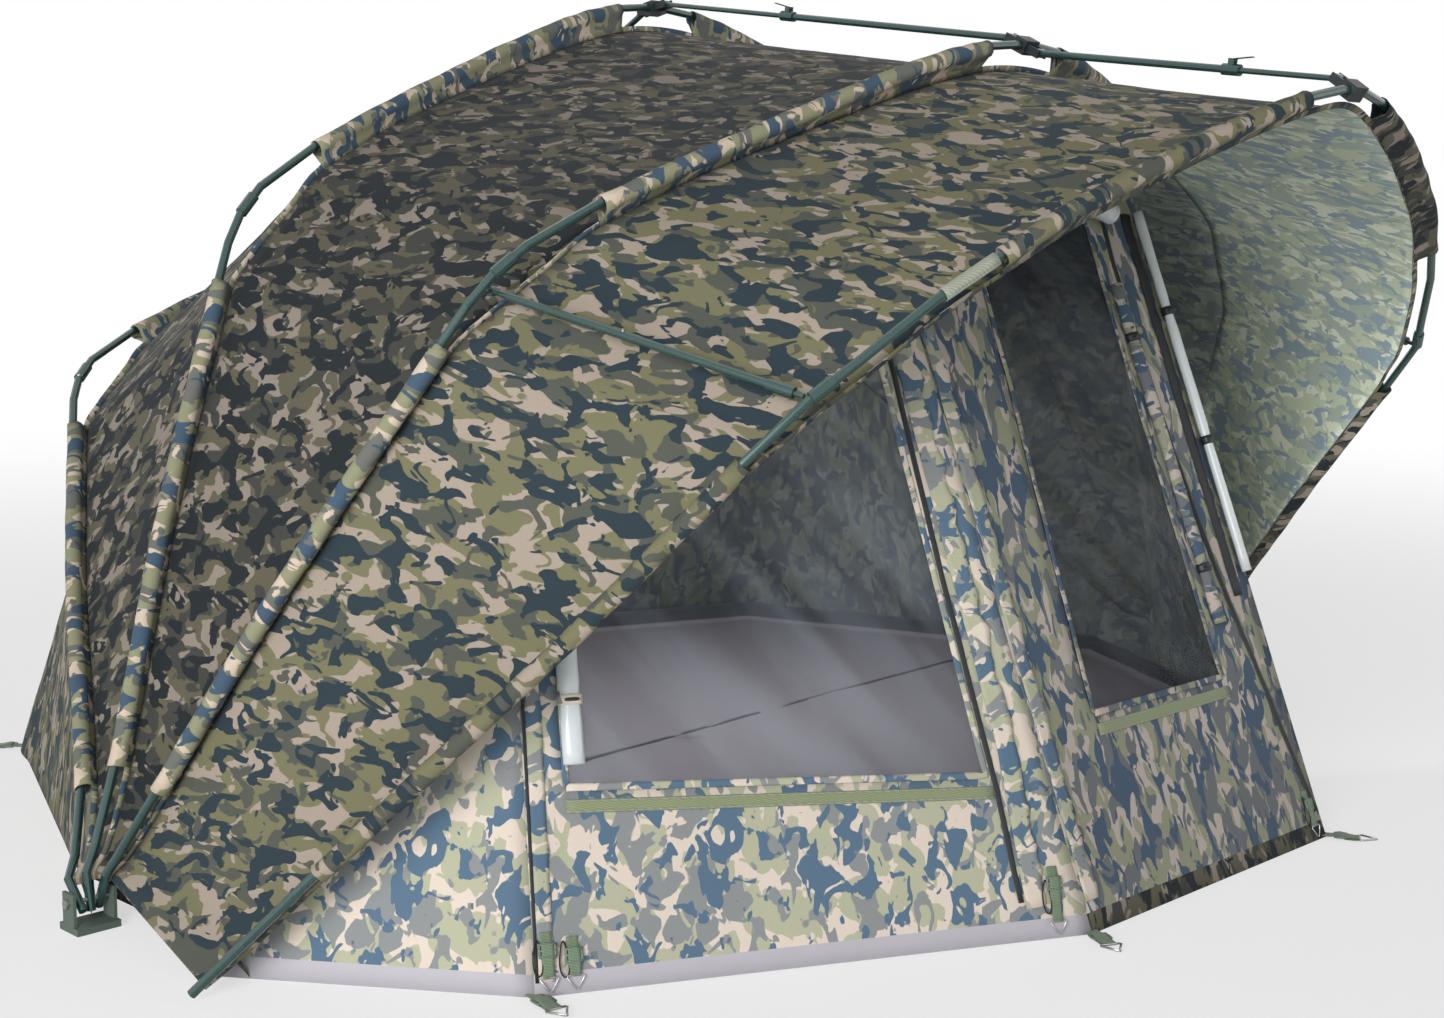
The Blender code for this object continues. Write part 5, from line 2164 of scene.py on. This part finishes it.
def add_tab(bm, wall, along, long):
    """A webbing tab sewn to a wall near its foot, with a ladder-lock buckle, a peg ring and an
    elastic loop."""

    def put(across_it, h, off):
        return wall.place(along + across_it, h, off)

    layers = (
        (
            (0.062 + long, 0.0030),
            (0.050 + long, 0.0034),
            (0.036 + long, 0.0048),
            (0.028 + long, 0.0070),
        ),
        (
            (0.046 + long, 0.0088),
            (0.036 + long, 0.0092),
            (0.020 + long, 0.0066),
            (0.030, 0.0056),
            (0.025, 0.0062),
            (0.028, 0.0080),
        ),
    )
    add_webbing(bm, layers, TAB_HALF, put)
    for h in TAB_BARS:
        line = [put(x, h + long, 0.0072) for x in (-0.013, -0.006, 0, 0.006, 0.013)]
        add_wire(bm, line, 0.0020, index=1)
    for x in (-0.0125, 0.0125):
        line = [put(x, h + long, 0.0068) for h in (0.024, 0.030, 0.040, 0.046)]
        add_wire(bm, line, (0.0016, 0.0023, 0.0023, 0.0016), index=1)
    ring = [put(x, h, 0.0066) for x, h in ring_line(TAB_RING, 0.0262)]
    add_wire(bm, ring, 0.0012, closed=True, index=2)
    loop = []
    for k in range(LOOP_STEPS):
        turn = math.tau * k / LOOP_STEPS
        reach = 0.0045 + 0.0055 * (1 - math.cos(turn)) / 2
        height = 0.040 + long / 2 + 0.026 * math.cos(turn)
        loop.append(wall.place(along - 0.016 - reach * math.sin(turn), height, 0.0058))
    add_wire(bm, loop, 0.0013, closed=True, index=3)


class BIVVY_OT_tabs(bpy.types.Operator):
    """Make the webbing tabs on the front wall's corners, each with its buckle, ring and elastic
    loop"""

    bl_idname = "bivvy.tabs"
    bl_label = "Corner tabs"

    def execute(self, context):
        left = Wall("left", LEFT_SEED)
        door = Wall("door", DOOR_SEED)
        for name, wall, along, long in (
            ("corner_tab_left_outer", left, 0.024, 0.030),
            ("corner_tab_left_inner", left, 0.066, 0.020),
            ("corner_tab_door_left", left, 0.905, 0.050),
            ("corner_tab_door_right", door, 0.362, 0.030),
        ):
            bm = bmesh.new()
            add_tab(bm, wall, along, long)
            new_piece(name, bm, ("webbing", "buckle", "zinc", "elastic"), "base")
        return {"FINISHED"}


class BIVVY_PT_panel(bpy.types.Panel):
    """Lists the steps that dress the bivvy tent's frame"""

    bl_idname = "BIVVY_PT_panel"
    bl_label = "Bivvy tent"
    bl_space_type = "VIEW_3D"
    bl_region_type = "UI"
    bl_category = "Bivvy"

    def draw(self, context):
        layout = self.layout
        for operator in OPERATORS:
            layout.operator(operator.bl_idname)
        for group in (context.scene.bivvy_sizes, context.scene.bivvy_colours):
            box = layout.box()
            for name in group.bl_rna.properties.keys():
                if name not in ("rna_type", "name"):
                    box.prop(group, name)


OPERATORS = (
    BIVVY_OT_stage,
    BIVVY_OT_finishes,
    BIVVY_OT_canopy,
    BIVVY_OT_sleeves,
    BIVVY_OT_front_wall,
    BIVVY_OT_tapes,
    BIVVY_OT_covers,
    BIVVY_OT_groundsheet,
    BIVVY_OT_straps,
    BIVVY_OT_tabs,
)


def register():
    for made in (BivvySizes, BivvyColours, *OPERATORS, BIVVY_PT_panel):
        bpy.utils.register_class(made)
    bpy.types.Scene.bivvy_sizes = bpy.props.PointerProperty(type=BivvySizes)
    bpy.types.Scene.bivvy_colours = bpy.props.PointerProperty(type=BivvyColours)


def unregister():
    del bpy.types.Scene.bivvy_colours
    del bpy.types.Scene.bivvy_sizes
    for made in (BIVVY_PT_panel, *reversed(OPERATORS), BivvyColours, BivvySizes):
        bpy.utils.unregister_class(made)


def main():
    register()
    bpy.ops.bivvy.stage()
    bpy.ops.bivvy.finishes()
    bpy.ops.bivvy.canopy()
    bpy.ops.bivvy.sleeves()
    bpy.ops.bivvy.front_wall()
    bpy.ops.bivvy.tapes()
    bpy.ops.bivvy.covers()
    bpy.ops.bivvy.groundsheet()
    bpy.ops.bivvy.straps()
    bpy.ops.bivvy.tabs()
    bpy.context.view_layer.update()


if __name__ == "__main__":
    main()
